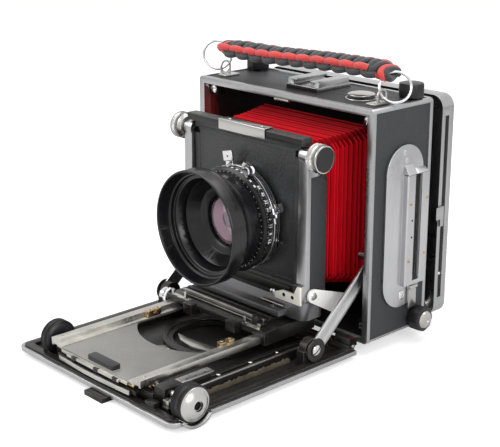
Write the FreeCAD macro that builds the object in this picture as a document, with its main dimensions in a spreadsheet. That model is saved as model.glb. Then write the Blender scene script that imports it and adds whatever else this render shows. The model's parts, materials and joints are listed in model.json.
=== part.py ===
import FreeCAD, Part
import math
import os
import re
import Sketcher

# Folding large-format field camera, bed open, standing on its tripod base plate.
# Frame: +Z up, the lens looks along -Y, +X is the side that carries the grip plate.
# Origin: centre of the tripod socket's mouth, on the plane the camera stands on.

Vector = FreeCAD.Vector

SIZES = {
    # main casing
    "body_width": 172, "body_depth": 61, "body_height": 164, "body_wall": 5,
    "foot_height": 9, "foot_radius": 27, "front_face": -30, "leather_recess": 0.8, "bare_edge": 3,
    "bellows_wall_at": 36, "bellows_wall": 3, "gate_half": 56, "rear_wall": 4,
    "socket_radius": 3.97, "socket_depth": 8,
    "body_rail_height": 8, "corner_boss": 9, "screw_head": 3.2,
    # extension back
    "sleeve_half": 68, "sleeve_wall": 3, "sleeve_length": 21.5, "sleeve_clearance": 0.3,
    "rod_radius": 3, "rod_x": 75.5, "rod_rise": 8, "rod_clearance": 0.05, "rod_length": 44,
    "back_gap": 11.5, "back_thickness": 12.5, "turntable_radius": 76.5, "turntable_fit": 0.3,
    "revolving_half": 76, "revolving_thickness": 8, "frame_half_width": 66, "frame_half_height": 56,
    "glass_frame_thickness": 5, "hood_thickness": 7, "back_play": 0.3,
    "lock_knob_radius": 9, "lock_knob_height": 10, "lock_stem": 2, "lock_from_rear": 11,
    # bed and its hinge
    "bed_half": 84, "bed_front": 171, "bed_rear": 7.7, "bed_floor": 3.2, "bed_sheet": 1.8,
    "rim_width": 2.5, "rim_low": 3.6, "rim_height": 3.2, "lip_width": 5.5, "lip_height": 4.6,
    "hinge_out": 3.5, "hinge_up": 6, "hinge_pin": 1.5, "knuckle": 2.7, "hinge_fit": 0.05,
    # focusing
    "shaft_back": 152.5, "shaft_up": 14.6, "shaft_radius": 2.2, "pinion_radius": 3.2,
    "knob_radius": 12.2, "knob_inner": 73, "knob_outer": 85, "cap_radius": 10.8, "bulge_radius": 14.6,
    "left_knob_inner": 55.5, "left_knob_outer": 65.5,
    "track_front": 166, "track_rear": 12, "rail_inner": 36, "rail_outer": 48, "rail_low": 17,
    "rail_ledge": 19, "rail_top": 22, "plate_sheet": 1.2, "cutout_radius": 48.8, "cutout_apex": 118,
    "guide_inner": 52, "guide_outer": 62, "guide_top": 12, "stop_at": 93, "stop_length": 12,
    # struts
    "strut_back": 43, "strut_up": 16, "strut_slot_up": 61.5, "strut_slot_back": 9, "strut_pin": 2,
    "strut_x": 76.5, "strut_sheet": 2, "strut_width": 14.6, "strut_travel": 17,
    # carriage and front standard
    "carriage_front": 64, "carriage_rear": 16, "carriage_top": 26, "slide_gap": 0.1,
    "shift_top": 29, "swing_top": 42, "post_radius": 2.5, "post_top": 84, "post_back": 24,
    "arm_inner": 54, "arm_outer": 62, "arm_low": 42.6, "arm_rear": 17, "tilt_back": 31, "tilt_up": 143,
    "tilt_stud": 3, "arm_head": 5.6, "tilt_knob_radius": 9.6, "tilt_knob_length": 11,
    "panel_half": 53, "panel_low": 49, "panel_top": 149, "panel_front": 33, "panel_thickness": 6,
    "board_half": 48, "board_sheet": 2.4, "lever_up": 47, "lever_front": 31,
    # lens
    "lens_up": 90.5, "board_hole": 30, "shutter_radius": 37, "shutter_depth": 13,
    "cell_radius": 33, "hood_radius": 40, "hood_front": 81, "hood_seat": 62, "glass_radius": 18,
    # bellows
    "pleat_pitch": 3.9375, "bellows_front_half": 51, "bellows_rear_half": 59,
    "bellows_front_low": 50, "bellows_front_top": 147, "bellows_rear_low": 36, "bellows_rear_top": 152,
    "bellows_skin": 6,
    # fittings on the casing
    "shoe_width": 30, "shoe_length": 35, "shoe_back": 35, "shoe_x": 3, "shoe_slot": 9.4,
    "lug_x": 77, "lug_back": 18, "lug_up": 178.5, "lug_sheet": 0.8, "ring_radius": 10.5, "ring_wire": 0.9,
    "strap_width": 24, "strap_thickness": 13, "strap_up": 194.5,
    "plate_centre": 33, "plate_low": 20, "plate_high": 136, "plate_half": 19, "button_radius": 9.5,
}

doc = FreeCAD.newDocument("field_camera")
sheet = doc.addObject("Spreadsheet::Sheet", "Sizes")
for row, (alias, size) in enumerate(SIZES.items(), start=1):
    sheet.set(f"A{row}", alias)
    sheet.set(f"B{row}", str(size))
    sheet.setAlias(f"B{row}", alias)
doc.recompute()

PIECES = []
BODY_TOP = "(foot_height + body_height)"
BODY_REAR = "(front_face + body_depth)"
BACK_FRONT = "(front_face + body_depth + back_gap)"
BACK_REAR = "(front_face + body_depth + back_gap + back_thickness)"
MID_UP = "(foot_height + body_height / 2)"
PLANES = {"XY": "XY_Plane", "XZ": "XZ_Plane", "YZ": "YZ_Plane"}


def ref(expression):
    """The expression with the sheet's name before each alias."""
    def named(match):
        word = match.group(0)
        return "Sizes." + word if word in SIZES else word
    return re.sub(r"[a-z_][a-z_0-9]*", named, str(expression))


def number(expression):
    """The value of an expression in the sheet's sizes."""
    result = sheet.evalExpression(ref(expression))
    return float(getattr(result, "Value", result))


def bind(obj, **properties):
    for name, expression in properties.items():
        obj.setExpression(name, ref(expression))


def place(obj, x, y, z):
    for axis, expression in zip("xyz", (x, y, z)):
        obj.setExpression(f"Placement.Base.{axis}", ref(expression))


def box(x, y, z, name="block"):
    """A block between two expressions along each axis."""
    block = doc.addObject("Part::Box", name)
    bind(block, Length=f"({x[1]}) - ({x[0]})", Width=f"({y[1]}) - ({y[0]})", Height=f"({z[1]}) - ({z[0]})")
    place(block, x[0], y[0], z[0])
    return block


TURNS = {"X": FreeCAD.Rotation(Vector(0, 1, 0), 90), "Y": FreeCAD.Rotation(Vector(1, 0, 0), -90),
         "Z": FreeCAD.Rotation()}


def rod(axis, radius, span, u, v, name="rod"):
    """A round bar along an axis; u and v are its place on the other two axes, in X, Y, Z order."""
    bar = doc.addObject("Part::Cylinder", name)
    bind(bar, Radius=radius, Height=f"({span[1]}) - ({span[0]})")
    bar.Placement.Rotation = TURNS[axis]
    spots = {"X": (span[0], u, v), "Y": (u, span[0], v), "Z": (u, v, span[0])}
    place(bar, *spots[axis])
    return bar


def sides(*spans):
    """The same span of X on the right, and mirrored on the left."""
    return [span for low, high in spans for span in ((low, high), (f"-({high})", f"-({low})"))]


def joined(*parts):
    fuse = doc.addObject("Part::MultiFuse", "joined")
    fuse.Shapes = list(parts)
    return fuse


def minus(base, *tools):
    cut = doc.addObject("Part::Cut", "cut")
    cut.Base = base
    cut.Tool = tools[0] if len(tools) == 1 else joined(*tools)
    return cut


def group(*parts):
    """Separate solids that make up one sub-part."""
    compound = doc.addObject("Part::Compound", "group")
    compound.Links = list(parts)
    return compound


def rounded(base, radius, keep):
    """Fillets on the straight edges for which keep(start, end) is true."""
    doc.recompute()
    picked = []
    for index, edge in enumerate(base.Shape.Edges, start=1):
        ends = [vertex.Point for vertex in edge.Vertexes]
        if len(ends) == 2 and keep(ends[0], ends[1]):
            picked.append((index, number(radius), number(radius)))
    fillet = doc.addObject("Part::Fillet", "rounded")
    fillet.Base = base
    fillet.Edges = picked
    return fillet


def along(axis):
    others = [name for name in "xyz" if name != axis]
    return lambda a, b: all(abs(getattr(a, n) - getattr(b, n)) < 1e-6 for n in others)


def sub_part(label, obj):
    obj.Label = label
    PIECES.append(obj)
    return obj


def sketch_on(body, plane, loops):
    """A sketch on a body's own plane. A loop is a list of points or ("circle", x, y, radius)."""
    sketch = body.newObject("Sketcher::SketchObject", body.Name + "_outline")
    role = PLANES[plane]
    support = next(f for f in body.Origin.OriginFeatures if f.Role == role)
    sketch.AttachmentSupport = (support, [""])
    sketch.MapMode = "FlatFace"

    def pin(geometry, vertex, x, y):
        for kind, expression in (("DistanceX", x), ("DistanceY", y)):
            held = Sketcher.Constraint(kind, -1, 1, geometry, vertex, number(expression))
            index = sketch.addConstraint(held)
            sketch.setExpression(f"Constraints[{index}]", ref(expression))

    for loop in loops:
        if loop[0] == "circle":
            _, x, y, radius = loop
            circle = Part.Circle(Vector(number(x), number(y), 0), Vector(0, 0, 1), number(radius))
            geometry = sketch.addGeometry(circle)
            pin(geometry, 3, x, y)
            index = sketch.addConstraint(Sketcher.Constraint("Radius", geometry, number(radius)))
            sketch.setExpression(f"Constraints[{index}]", ref(radius))
            continue
        points = [Vector(number(x), number(y), 0) for x, y in loop]
        lines = []
        for start, end in zip(points, points[1:] + points[:1]):
            lines.append(sketch.addGeometry(Part.LineSegment(start, end)))
        for line, following in zip(lines, lines[1:] + lines[:1]):
            sketch.addConstraint(Sketcher.Constraint("Coincident", line, 2, following, 1))
        for line, (x, y) in zip(lines, loop):
            pin(line, 1, x, y)
    return sketch


def plate(plane, loops, span, name="plate"):
    """A pad of an outline between two places along the plane's normal: Z, Y or X."""
    body = doc.addObject("PartDesign::Body", name)
    sketch = sketch_on(body, plane, loops)
    pad = body.newObject("PartDesign::Pad", name + "_pad")
    pad.Profile = sketch
    bind(pad, Length=f"({span[1]}) - ({span[0]})")
    start = {"XY": ("0", "0", span[0]), "XZ": ("0", span[1], "0"), "YZ": (span[0], "0", "0")}
    place(body, *start[plane])
    return body


def turned(axis, at, profile, name="turned"):
    """A revolved piece. Each profile point is (place along the axis, radius)."""
    plane, line, swap = {"X": ("XY", "H_Axis", False), "Y": ("YZ", "H_Axis", False),
                         "Z": ("XZ", "V_Axis", True)}[axis]
    points = [(r, a) if swap else (a, r) for a, r in profile]
    body = doc.addObject("PartDesign::Body", name)
    sketch = sketch_on(body, plane, [points])
    revolution = body.newObject("PartDesign::Revolution", name + "_turn")
    revolution.Profile = sketch
    revolution.ReferenceAxis = (sketch, [line])
    revolution.Angle = 360
    place(body, *at)
    return body


def back(distance):
    """Y of a place that far in front of the casing's front face."""
    return f"(front_face - ({distance}))"


def into(distance):
    """Y of a place that far behind the casing's front face."""
    return f"(front_face + {distance})"


def centred(half):
    return (f"-({half})", f"({half})")


def about_mid(half):
    """Heights that far below and above the casing's middle."""
    return (f"{MID_UP} - ({half})", f"{MID_UP} + ({half})")


# ---------------------------------------------------------------- casing
def make_casing():
    outer = box(centred("body_width / 2"), ("front_face", BODY_REAR), ("foot_height", BODY_TOP))
    outer = rounded(outer, "bare_edge", along("y"))
    inner_x = "(body_width / 2 - body_wall)"
    inner_z = ("foot_height + body_wall", f"{BODY_TOP} - body_wall")
    wall_rear = "(front_face + bellows_wall_at + bellows_wall)"
    front_room = box(centred(inner_x), (back(1), into("bellows_wall_at")), inner_z)
    rear_room = box(centred(inner_x), (wall_rear, f"{BODY_REAR} - rear_wall"), inner_z)
    gate = box(centred("gate_half"), (into("bellows_wall_at - 1"), f"{wall_rear} + 1"),
               (f"{MID_UP} - gate_half", f"{MID_UP} + gate_half"))
    sleeve_half = "(sleeve_half + sleeve_clearance)"
    rear_door = box(centred(sleeve_half), (f"{BODY_REAR} - rear_wall - 1", f"{BODY_REAR} + 1"),
                    (f"{MID_UP} - {sleeve_half}", f"{MID_UP} + {sleeve_half}"))
    cuts = [front_room, rear_room, gate, rear_door]
    leather_y = ("front_face + bare_edge", f"{BODY_REAR} - bare_edge")
    leather_z = ("foot_height + bare_edge", f"{BODY_TOP} - bare_edge")
    for low, high in sides(("body_width / 2 - leather_recess", "body_width")):
        cuts.append(box((low, high), leather_y, leather_z))
    cuts.append(box(centred("body_width / 2 - bare_edge"), leather_y,
                    (f"{BODY_TOP} - leather_recess", f"{BODY_TOP} + 1")))
    shell = minus(outer, *cuts)

    added = []
    for low, high in sides(("sleeve_half + 0.6", "body_width / 2 - body_wall + 1")):
        for z in (("foot_height + 1", "foot_height + rod_rise + 5"),
                  (f"{BODY_TOP} - rod_rise - 5", f"{BODY_TOP} - 1")):
            added.append(box((low, high), (f"{wall_rear} - 1", f"{BODY_REAR} - 1"), z))
    boss_x = ("body_width / 2 - body_wall - corner_boss", "body_width / 2 - body_wall + 1")
    for low, high in sides(boss_x):
        for z in (("foot_height + 2", "foot_height + body_wall + corner_boss"),
                  (f"{BODY_TOP} - body_wall - corner_boss", f"{BODY_TOP} - 2")):
            added.append(box((low, high), (into("6"), into("12")), z))
    for low, high in sides(("rail_inner", "rail_outer")):
        added.append(box((low, high), (into("1"), into("bellows_wall_at - 1")),
                         ("foot_height + 1", "foot_height + body_wall + body_rail_height")))
    for low, high in (("-76", "-62"), ("-7", "7"), ("62", "76")):
        added.append(rod("X", "knuckle", (low, high), back("hinge_out"), "hinge_up"))
        leaf_y = (back("hinge_out + knuckle"), into("1"))
        added.append(box((low, high), leaf_y, ("hinge_up", "foot_height + 3")))
    shell = joined(shell, *added)

    bores = [rod("X", "hinge_pin", ("-80", "80"), back("hinge_out"), "hinge_up")]
    for side in ("1", "-1"):
        rod_x = f"{side} * rod_x"
        for up in ("foot_height + rod_rise", f"{BODY_TOP} - rod_rise"):
            bores.append(rod("Y", "rod_radius + rod_clearance", (into("18"), f"{BODY_REAR} + 2"), rod_x, up))
        bores.append(rod("Z", "lock_stem + rod_clearance", (f"{BODY_TOP} - rod_rise", f"{BODY_TOP} + 1"),
                         rod_x, f"{BODY_REAR} - lock_from_rear"))
    for low, high in sides(("rod_x", "body_width / 2 + 1")):
        bores.append(rod("X", "lock_stem + rod_clearance", (low, high), f"{BODY_REAR} - lock_from_rear",
                         "foot_height + rod_rise"))
    bores.append(rod("Z", "3.1", (f"{BODY_TOP} - 7", f"{BODY_TOP} + 1"), "50", into("28")))
    sub_part("body_shell", minus(shell, *bores))


def make_base_plate():
    profile = [("0", "socket_radius"), ("socket_depth", "socket_radius"), ("socket_depth", "0"),
               ("foot_height", "0"), ("foot_height", "foot_radius - 2"), ("foot_height - 1.5", "foot_radius"),
               ("1", "foot_radius"), ("0", "foot_radius - 1")]
    sub_part("base_plate", turned("Z", ("0", "0", "0"), profile, "base_plate_body"))


def make_body_fittings():
    """Corner screws, the two strut pins, the hinge pin and the tongue that the closed bed latches on."""
    pieces = [rod("X", "hinge_pin", ("-77", "77"), back("hinge_out"), "hinge_up")]
    screw_in = "(body_width / 2 - body_wall - corner_boss / 2)"
    for x in (screw_in, f"-{screw_in}"):
        for z in ("foot_height + body_wall + corner_boss / 2", f"{BODY_TOP} - body_wall - corner_boss / 2"):
            pieces.append(rod("Y", "screw_head", (into("4.8"), into("6")), x, z))
    wall = "(body_width / 2 - body_wall)"
    for stem_span, head_span in zip(sides(("strut_x", wall)), sides(("strut_x - 2", "strut_x"))):
        stem = rod("X", "strut_pin", stem_span, into("strut_slot_back"), "strut_slot_up")
        head = rod("X", "strut_pin + 2.4", head_span, into("strut_slot_back"), "strut_slot_up")
        pieces.append(joined(stem, head))
    for span in sides(("body_width / 2 - body_wall - 6", "body_width / 2 - body_wall")):
        pieces.append(rod("X", "3.4", span, into("3.5"), "strut_slot_up + 10.8"))
    under_top = f"{BODY_TOP} - body_wall"
    pieces.append(box(centred("7"), (into("0.5"), into("7")), (f"{under_top} - 2", under_top)))
    sub_part("body_fittings", group(*pieces))


def make_accessory_shoe():
    low = f"{BODY_TOP} - leather_recess"
    base = box(centred("shoe_width / 2"), centred("shoe_length / 2"), ("0", "3"))
    parts = [base]
    for a, b in sides(("shoe_slot", "shoe_width / 2")):
        parts.append(box((a, b), centred("shoe_length / 2 - 2"), ("2", "7")))
    for a, b in sides(("shoe_slot - 3.1", "shoe_width / 2")):
        parts.append(box((a, b), centred("shoe_length / 2 - 2"), ("5.4", "7")))
    shoe = joined(*parts)
    place(shoe, "shoe_x", into("shoe_back"), low)
    sub_part("accessory_shoe", shoe)


def make_strap_lugs():
    lugs = []
    for low, high, foot_low, foot_high in (
            ("lug_x - lug_sheet / 2", "lug_x + lug_sheet / 2", "lug_x - 8", "lug_x + lug_sheet / 2"),
            ("-lug_x - lug_sheet / 2", "-lug_x + lug_sheet / 2", "-lug_x - lug_sheet / 2", "8 - lug_x")):
        low_z = f"{BODY_TOP} - leather_recess"
        eye = rod("X", "5.2", (low, high), into("lug_back"), "lug_up")
        stem = box((low, high), (into("lug_back - 5.2"), into("lug_back + 5.2")), (low_z, "lug_up"))
        foot_y = (into("lug_back - 7"), into("lug_back + 7"))
        foot = box((foot_low, foot_high), foot_y, (low_z, f"{low_z} + 1.6"))
        hole = rod("X", "3.6", (f"{low} - 1", f"{high} + 1"), into("lug_back"), "lug_up")
        lugs.append(minus(joined(eye, stem, foot), hole))
    sub_part("strap_lugs", group(*lugs))


def make_grip_plate():
    """Long oval plate with a raised dovetail channel, screwed to the +X side."""
    seat = "(body_width / 2 - leather_recess)"
    face = f"({seat} + 2)"
    ends = [rod("X", "plate_half", (seat, face), into("plate_centre"), z)
            for z in ("foot_height + plate_low + plate_half", "foot_height + plate_high - plate_half")]
    middle = box((seat, face), (into("plate_centre - plate_half"), into("plate_centre + plate_half")),
                 ("foot_height + plate_low + plate_half", "foot_height + plate_high - plate_half"))
    channel_y = (into("plate_centre - 2"), into("plate_centre + 21"))
    channel_z = ("foot_height + plate_low + 16", "foot_height + plate_high - 21")
    channel = box((f"{face} - 0.5", f"{face} + 4.5"), channel_y, channel_z)
    channel = rounded(channel, "1.2", lambda a, b: along("z")(a, b) and a.x > number(face) + 2)
    groove = box((f"{face} + 0.5", f"{face} + 3"), (into("plate_centre + 3"), into("plate_centre + 16")),
                 (f"{channel_z[0]} + 3", f"{channel_z[1]} + 1"))
    mouth = box((f"{face} + 1", f"{face} + 6"), (into("plate_centre + 6"), into("plate_centre + 13")),
                (f"{channel_z[0]} + 3", f"{channel_z[1]} + 1"))
    blank = joined(middle, *ends, channel)
    tips = box((seat, f"{face} + 6"), (BODY_REAR + " - bare_edge", BODY_REAR + " + 9"),
               ("foot_height", BODY_TOP))
    sub_part("grip_plate", minus(blank, groove, mouth, tips))


def make_release_button():
    seat = f"({BODY_TOP} - leather_recess)"
    head = [(f"{seat} + 0.2 + 1.3", "button_radius"), (f"{seat} + 0.2 + 1.3", "3")]
    profile = [(f"{seat} - 5", "0"), (f"{seat} - 5", "3"), head[1], head[0],
               (f"{seat} + 2.9", "button_radius"), (f"{seat} + 3.6", "button_radius - 2.5"),
               (f"{seat} + 3.6", "0")]
    sub_part("bed_release_button", turned("Z", ("50", into("28"), "0"), profile, "release_button_body"))


def make_grip_lever():
    """Spring tab under the grip plate that frees a grip from the channel."""
    seat = "(body_width / 2 - leather_recess)"
    low = "(foot_height + plate_low - 2.2)"
    tab = box((f"{seat} + 2.3", f"{seat} + 4.1"), (into("plate_centre + 6"), into("plate_centre + 14")),
              (low, "foot_height + plate_low + 14"))
    pin = rod("Y", "1.6", (into("plate_centre + 6"), into("plate_centre + 14")), f"{seat} + 3.9",
              "foot_height + plate_low + 13")
    sub_part("grip_release_lever", joined(tab, pin))


# ---------------------------------------------------------------- extension back
def make_back():
    low, high = "(foot_height + 1)", f"({BODY_TOP} - 1)"
    frame = box(centred("body_width / 2 - 0.5"), (BACK_FRONT, BACK_REAR), (low, high))
    frame = rounded(frame, "9", along("y"))
    sleeve = box(centred("sleeve_half"), (f"{BACK_FRONT} - sleeve_length", f"{BACK_FRONT} + 1"),
                 (f"{MID_UP} - sleeve_half", f"{MID_UP} + sleeve_half"))
    opening = rod("Y", "turntable_radius", (f"{BACK_FRONT} + 3", f"{BACK_REAR} + 1"), "0", MID_UP)
    inner = "(sleeve_half - sleeve_wall)"
    tunnel = box(centred(inner), (f"{BACK_FRONT} - sleeve_length - 1", f"{BACK_FRONT} + 4"),
                 (f"{MID_UP} - {inner}", f"{MID_UP} + {inner}"))
    cuts = [opening, tunnel]
    for low_x, high_x in sides(("body_width / 2 - 3", "body_width / 2 + 1")):
        cuts.append(box((low_x, high_x), (f"{BACK_FRONT} + 3.5", f"{BACK_FRONT} + 7.5"),
                        (f"{low} + 14", f"{high} - 14")))
    for x in ("rod_x", "-rod_x"):
        for z in ("foot_height + rod_rise", f"{BODY_TOP} - rod_rise"):
            cuts.append(rod("Y", "rod_radius", (f"{BACK_FRONT} - 1", f"{BACK_FRONT} + 6"), x, z))
    sub_part("back_frame", minus(joined(frame, sleeve), *cuts))

    rods = []
    for x in ("rod_x", "-rod_x"):
        for z in ("foot_height + rod_rise", f"{BODY_TOP} - rod_rise"):
            rods.append(rod("Y", "rod_radius", (f"{BACK_FRONT} + 6 - rod_length", f"{BACK_FRONT} + 6"), x, z))
    sub_part("back_rods", group(*rods))


def octagon(radius):
    return [(f"({radius}) * cos({22.5 + 45 * i})", f"({radius}) * sin({22.5 + 45 * i})") for i in range(8)]


def make_lock_knobs():
    """Four knobs that clamp the back's rods: two on the top, two low on the sides."""
    lock_y = f"({BODY_REAR} - lock_from_rear)"
    seat = f"({BODY_TOP} + 0.3)"
    for label, x in (("lock_knob_top_right", "rod_x"), ("lock_knob_top_left", "-rod_x")):
        span = (seat, f"{seat} + lock_knob_height")
        head = plate("XY", [octagon("lock_knob_radius")], span, label + "_head")
        place(head, x, lock_y, seat)
        stem = rod("Z", "lock_stem", (f"{BODY_TOP} - rod_rise + rod_radius + 0.3", f"{seat} + 1"), x, lock_y)
        sub_part(label, joined(head, stem))
    side = "(body_width / 2 + 0.3)"
    tip = "(rod_x + rod_radius + 0.3)"
    for label, sign in (("lock_knob_low_right", ""), ("lock_knob_low_left", "-")):
        profile = [(tip, "0"), (tip, "lock_stem"), (side, "lock_stem"), (side, "lock_knob_radius - 1.5"),
                   (f"{side} + 1", "lock_knob_radius"), (f"{side} + 7.5", "lock_knob_radius"),
                   (f"{side} + 8.5", "lock_knob_radius - 1.2"), (f"{side} + 8.5", "lock_knob_radius - 2"),
                   (f"{side} + 11", "lock_knob_radius - 2"), (f"{side} + 11.6", "lock_knob_radius - 3"),
                   (f"{side} + 11.6", "0")]
        if sign:
            profile = [(f"-({a})", r) for a, r in reversed(profile)]
        sub_part(label, turned("X", ("0", lock_y, "foot_height + rod_rise"), profile, label + "_body"))


def make_revolving_back():
    seat = f"({BACK_REAR} + back_play)"
    rear = f"({seat} + revolving_thickness)"
    square = box(centred("revolving_half"), (seat, rear), about_mid("revolving_half"))
    square = rounded(square, "20", along("y"))
    spigot = rod("Y", "turntable_radius - turntable_fit", (f"{BACK_FRONT} + 4", f"{seat} + 1"), "0", MID_UP)
    bore = rod("Y", "turntable_radius - 3", (f"{BACK_FRONT} + 3", seat), "0", MID_UP)
    gate = box(centred("60"), (f"{BACK_FRONT} + 3", f"{rear} + 1"), (f"{MID_UP} - 47", f"{MID_UP} + 47"))
    ears = []
    for x in sides(("frame_half_width + 0.5", "frame_half_width + 4")):
        ears.append(box(x, (f"{rear} - 1", f"{rear} + 4"), (f"{MID_UP} - 30", f"{MID_UP} + 30")))
    sub_part("revolving_back", minus(joined(square, spigot, *ears), bore, gate))

    frame_y = (f"{rear} + back_play", f"{rear} + back_play + glass_frame_thickness")
    outer = box(centred("frame_half_width"), frame_y, about_mid("frame_half_height"))
    window = box(centred("59"), (f"{frame_y[0]} - 1", f"{frame_y[1]} + 1"), about_mid("46"))
    rebate = box(centred("62.1"), (f"{frame_y[0]} - 1", f"{frame_y[0]} + 2.1"), about_mid("49.1"))
    sub_part("glass_frame", minus(outer, window, rebate))
    sub_part("ground_glass", box(centred("62"), (frame_y[0], f"{frame_y[0]} + 2"), about_mid("49")))

    hood_y = (f"{frame_y[1]} + 0.8", f"{frame_y[1]} + 0.8 + hood_thickness")
    cover_z = (f"{MID_UP} - frame_half_height", f"{MID_UP} + frame_half_height - 3")
    cover = box(centred("frame_half_width"), hood_y, cover_z)
    cover = rounded(cover, "5", along("y"))
    hollow = box(centred("frame_half_width - 3"), (f"{hood_y[0]} - 1", f"{hood_y[1]} - 2"),
                 (f"{MID_UP} - frame_half_height + 3", f"{MID_UP} + frame_half_height - 8"))
    barrel = rod("X", "2", centred("40"), f"{hood_y[0]} + 2", f"{MID_UP} + frame_half_height - 2.6")
    sub_part("focusing_hood_cover", joined(minus(cover, hollow), barrel))


# ---------------------------------------------------------------- bed
def make_bed():
    front, rear = back("bed_front"), back("bed_rear")
    rim_in = "(bed_half - rim_width)"
    lip_in = f"({rim_in} - lip_width)"
    shaft_y = back("shaft_back")

    def front_corners(block, radius):
        return rounded(block, radius, lambda a, b: along("z")(a, b) and a.y < number(front) + 20)

    def ring(half, inner, z, radius, rear_inset):
        outer = front_corners(box(centred(half), (f"{front} + bed_half - ({half})", rear), z), radius)
        hole_y = (f"{front} + bed_half - ({inner})", f"{rear} - ({rear_inset})")
        hole = front_corners(box(centred(inner), hole_y, (f"({z[0]}) - 1", f"({z[1]}) + 1")), f"{radius} - 2")
        return minus(outer, hole)

    floor_block = box(centred(rim_in), (f"{front} + rim_width", rear), ("bed_floor", "bed_floor + bed_sheet"))
    floor = front_corners(floor_block, "5")
    lip = ring(rim_in, lip_in, ("bed_floor", "bed_floor + lip_height"), "5", "lip_width")
    catch = joined(box(("1", "20"), (back("bed_front + 4.5"), back("bed_front - 5")), ("0", "bed_floor")),
                   box(("3", "18"), (back("bed_front - 4"), back("bed_front - 12")),
                       ("1", "bed_floor + 0.5")))
    hooks = [joined(rod("X", "knuckle", span, back("hinge_out"), "hinge_up"),
                    box(span, (f"{rear} - 6", back("hinge_out")), ("bed_floor", "hinge_up + 1")))
             for span in (("-61.6", "-46"), ("46", "61.6"))]
    pan = joined(floor, lip, catch, *hooks)
    cuts = [rod("X", "hinge_pin + hinge_fit", ("-80", "80"), back("hinge_out"), "hinge_up")]
    for span in (("knob_inner - 1", "bed_half + 1"), ("-left_knob_outer - 1", "1 - left_knob_inner")):
        cuts.append(rod("X", "knob_radius + 0.8", span, shaft_y, "shaft_up"))
    sub_part("bed_pan", minus(pan, *cuts))

    edge = ring("bed_half", rim_in, ("rim_low", "rim_low + rim_height"), "7", "-1")
    bulge = rod("X", "bulge_radius", ("bed_half - rim_width", "knob_outer + 1.5"), shaft_y, "shaft_up")
    above = box(centred("bed_half + 5"), (f"{shaft_y} - 30", f"{shaft_y} + 30"),
                ("rim_low + rim_height", "60"))
    well = rod("X", "knob_radius + 0.5", ("bed_half - 10", "bed_half + 6"), shaft_y, "shaft_up")
    sub_part("bed_rim", minus(joined(edge, bulge), above, well))


def make_bed_guides():
    """Outer guide bars, the bearings of the focusing shaft and the front cross bar."""
    z = ("bed_floor + bed_sheet", "guide_top")
    shaft_y = back("shaft_back")
    parts, cuts = [], []
    blocks = (("guide_inner", "guide_outer"), ("-left_knob_inner + 1.2", "-rail_outer - 2.3"))
    for span, block, front in ((blocks[0], blocks[0], "shaft_back - 9"),
                               (("-guide_outer", "-guide_inner"), blocks[1], "shaft_back - 14")):
        middle = f"({span[0]} + {span[1]}) / 2"
        parts.append(box(span, (back(front), back("14.5")), z))
        parts.append(box(block, (back("shaft_back + 6"), back("shaft_back - 9")), (z[0], "shaft_up + 4")))
        cuts.append(box((f"{middle} - 1.2", f"{middle} + 1.2"), (back("shaft_back - 15"), back("14")),
                        ("guide_top - 3", "guide_top + 1")))
    parts.append(box(("-left_knob_inner + 1.2", "-guide_inner"),
                     (back("shaft_back - 8.5"), back("shaft_back - 15")), z))
    cuts.append(rod("X", "shaft_radius + hinge_fit", centred("guide_outer + 1"), shaft_y, "shaft_up"))
    cross = box(centred("guide_inner"), (back("bed_front - 11"), back("bed_front - 15")),
                (z[0], "rail_low - 4"))
    rear = box(centred("guide_inner + 2"), (back("24"), back("14.5")), (z[0], "9"))
    sub_part("bed_guides", minus(joined(*parts, cross, rear), *cuts))


def make_strut_brackets():
    z0 = "bed_floor + lip_height"
    parts = []
    for sign, pad_span, pin_span, cap_span in (
            (1, ("70", "strut_x"), ("strut_x - 2", "strut_x + strut_sheet + 0.6"),
             ("strut_x + strut_sheet + 0.3", "strut_x + strut_sheet + 1.5")),
            (-1, ("-strut_x", "-70"), ("-strut_x - strut_sheet - 0.6", "2 - strut_x"),
             ("-strut_x - strut_sheet - 1.5", "-strut_x - strut_sheet - 0.3"))):
        low = "bed_floor + bed_sheet"
        cheek = box(pad_span, (back("strut_back + 9"), back("strut_back - 9")), (low, "strut_up"))
        top = rod("X", "7.5", pad_span, back("strut_back"), "strut_up")
        lip_room = box(("bed_half - rim_width - lip_width", "bed_half") if sign > 0 else
                       ("-bed_half", "lip_width + rim_width - bed_half"),
                       (back("strut_back + 12"), back("strut_back - 12")), ("0", z0))
        pin = rod("X", "strut_pin", pin_span, back("strut_back"), "strut_up")
        cap = rod("X", "4.5", cap_span, back("strut_back"), "strut_up")
        parts.append(joined(minus(joined(cheek, top), lip_room), pin, cap))
    sub_part("strut_brackets", group(*parts))


def make_struts():
    """Slotted flat straps: pivoted on the bed, sliding on a pin in the casing."""
    rise = number("strut_slot_up - strut_up")
    run = number("strut_back + strut_slot_back")
    angle = math.degrees(math.atan2(rise, run))
    reach = f"{math.hypot(rise, run)}"
    half = "strut_width / 2"
    for label, low, high in (("strut_right", "strut_x + 0.15", "strut_x + strut_sheet"),
                             ("strut_left", "-strut_x - strut_sheet", "-strut_x - 0.15")):
        span = ("0", f"{high} - ({low})")
        length = f"({reach} + strut_travel)"
        strap = box(span, ("0", length), centred(half))
        ends = [rod("X", half, span, "0", "0"), rod("X", half, span, length, "0")]
        slot = box((f"{span[0]} - 1", f"{span[1]} + 1"), (f"{reach} - 1.2", length),
                   centred("strut_pin + 0.7"))
        slot_ends = [rod("X", "strut_pin + 0.7", (f"{span[0]} - 1", f"{span[1]} + 1"), place_on, "0")
                     for place_on in (f"{reach} - 1.2", length)]
        hole = rod("X", "strut_pin + hinge_fit", (f"{span[0]} - 1", f"{span[1]} + 1"), "0", "0")
        strut = minus(joined(strap, *ends), slot, *slot_ends, hole)
        strut.Placement.Rotation = FreeCAD.Rotation(Vector(1, 0, 0), angle)
        place(strut, low, back("strut_back"), "strut_up")
        sub_part(label, strut)


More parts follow.
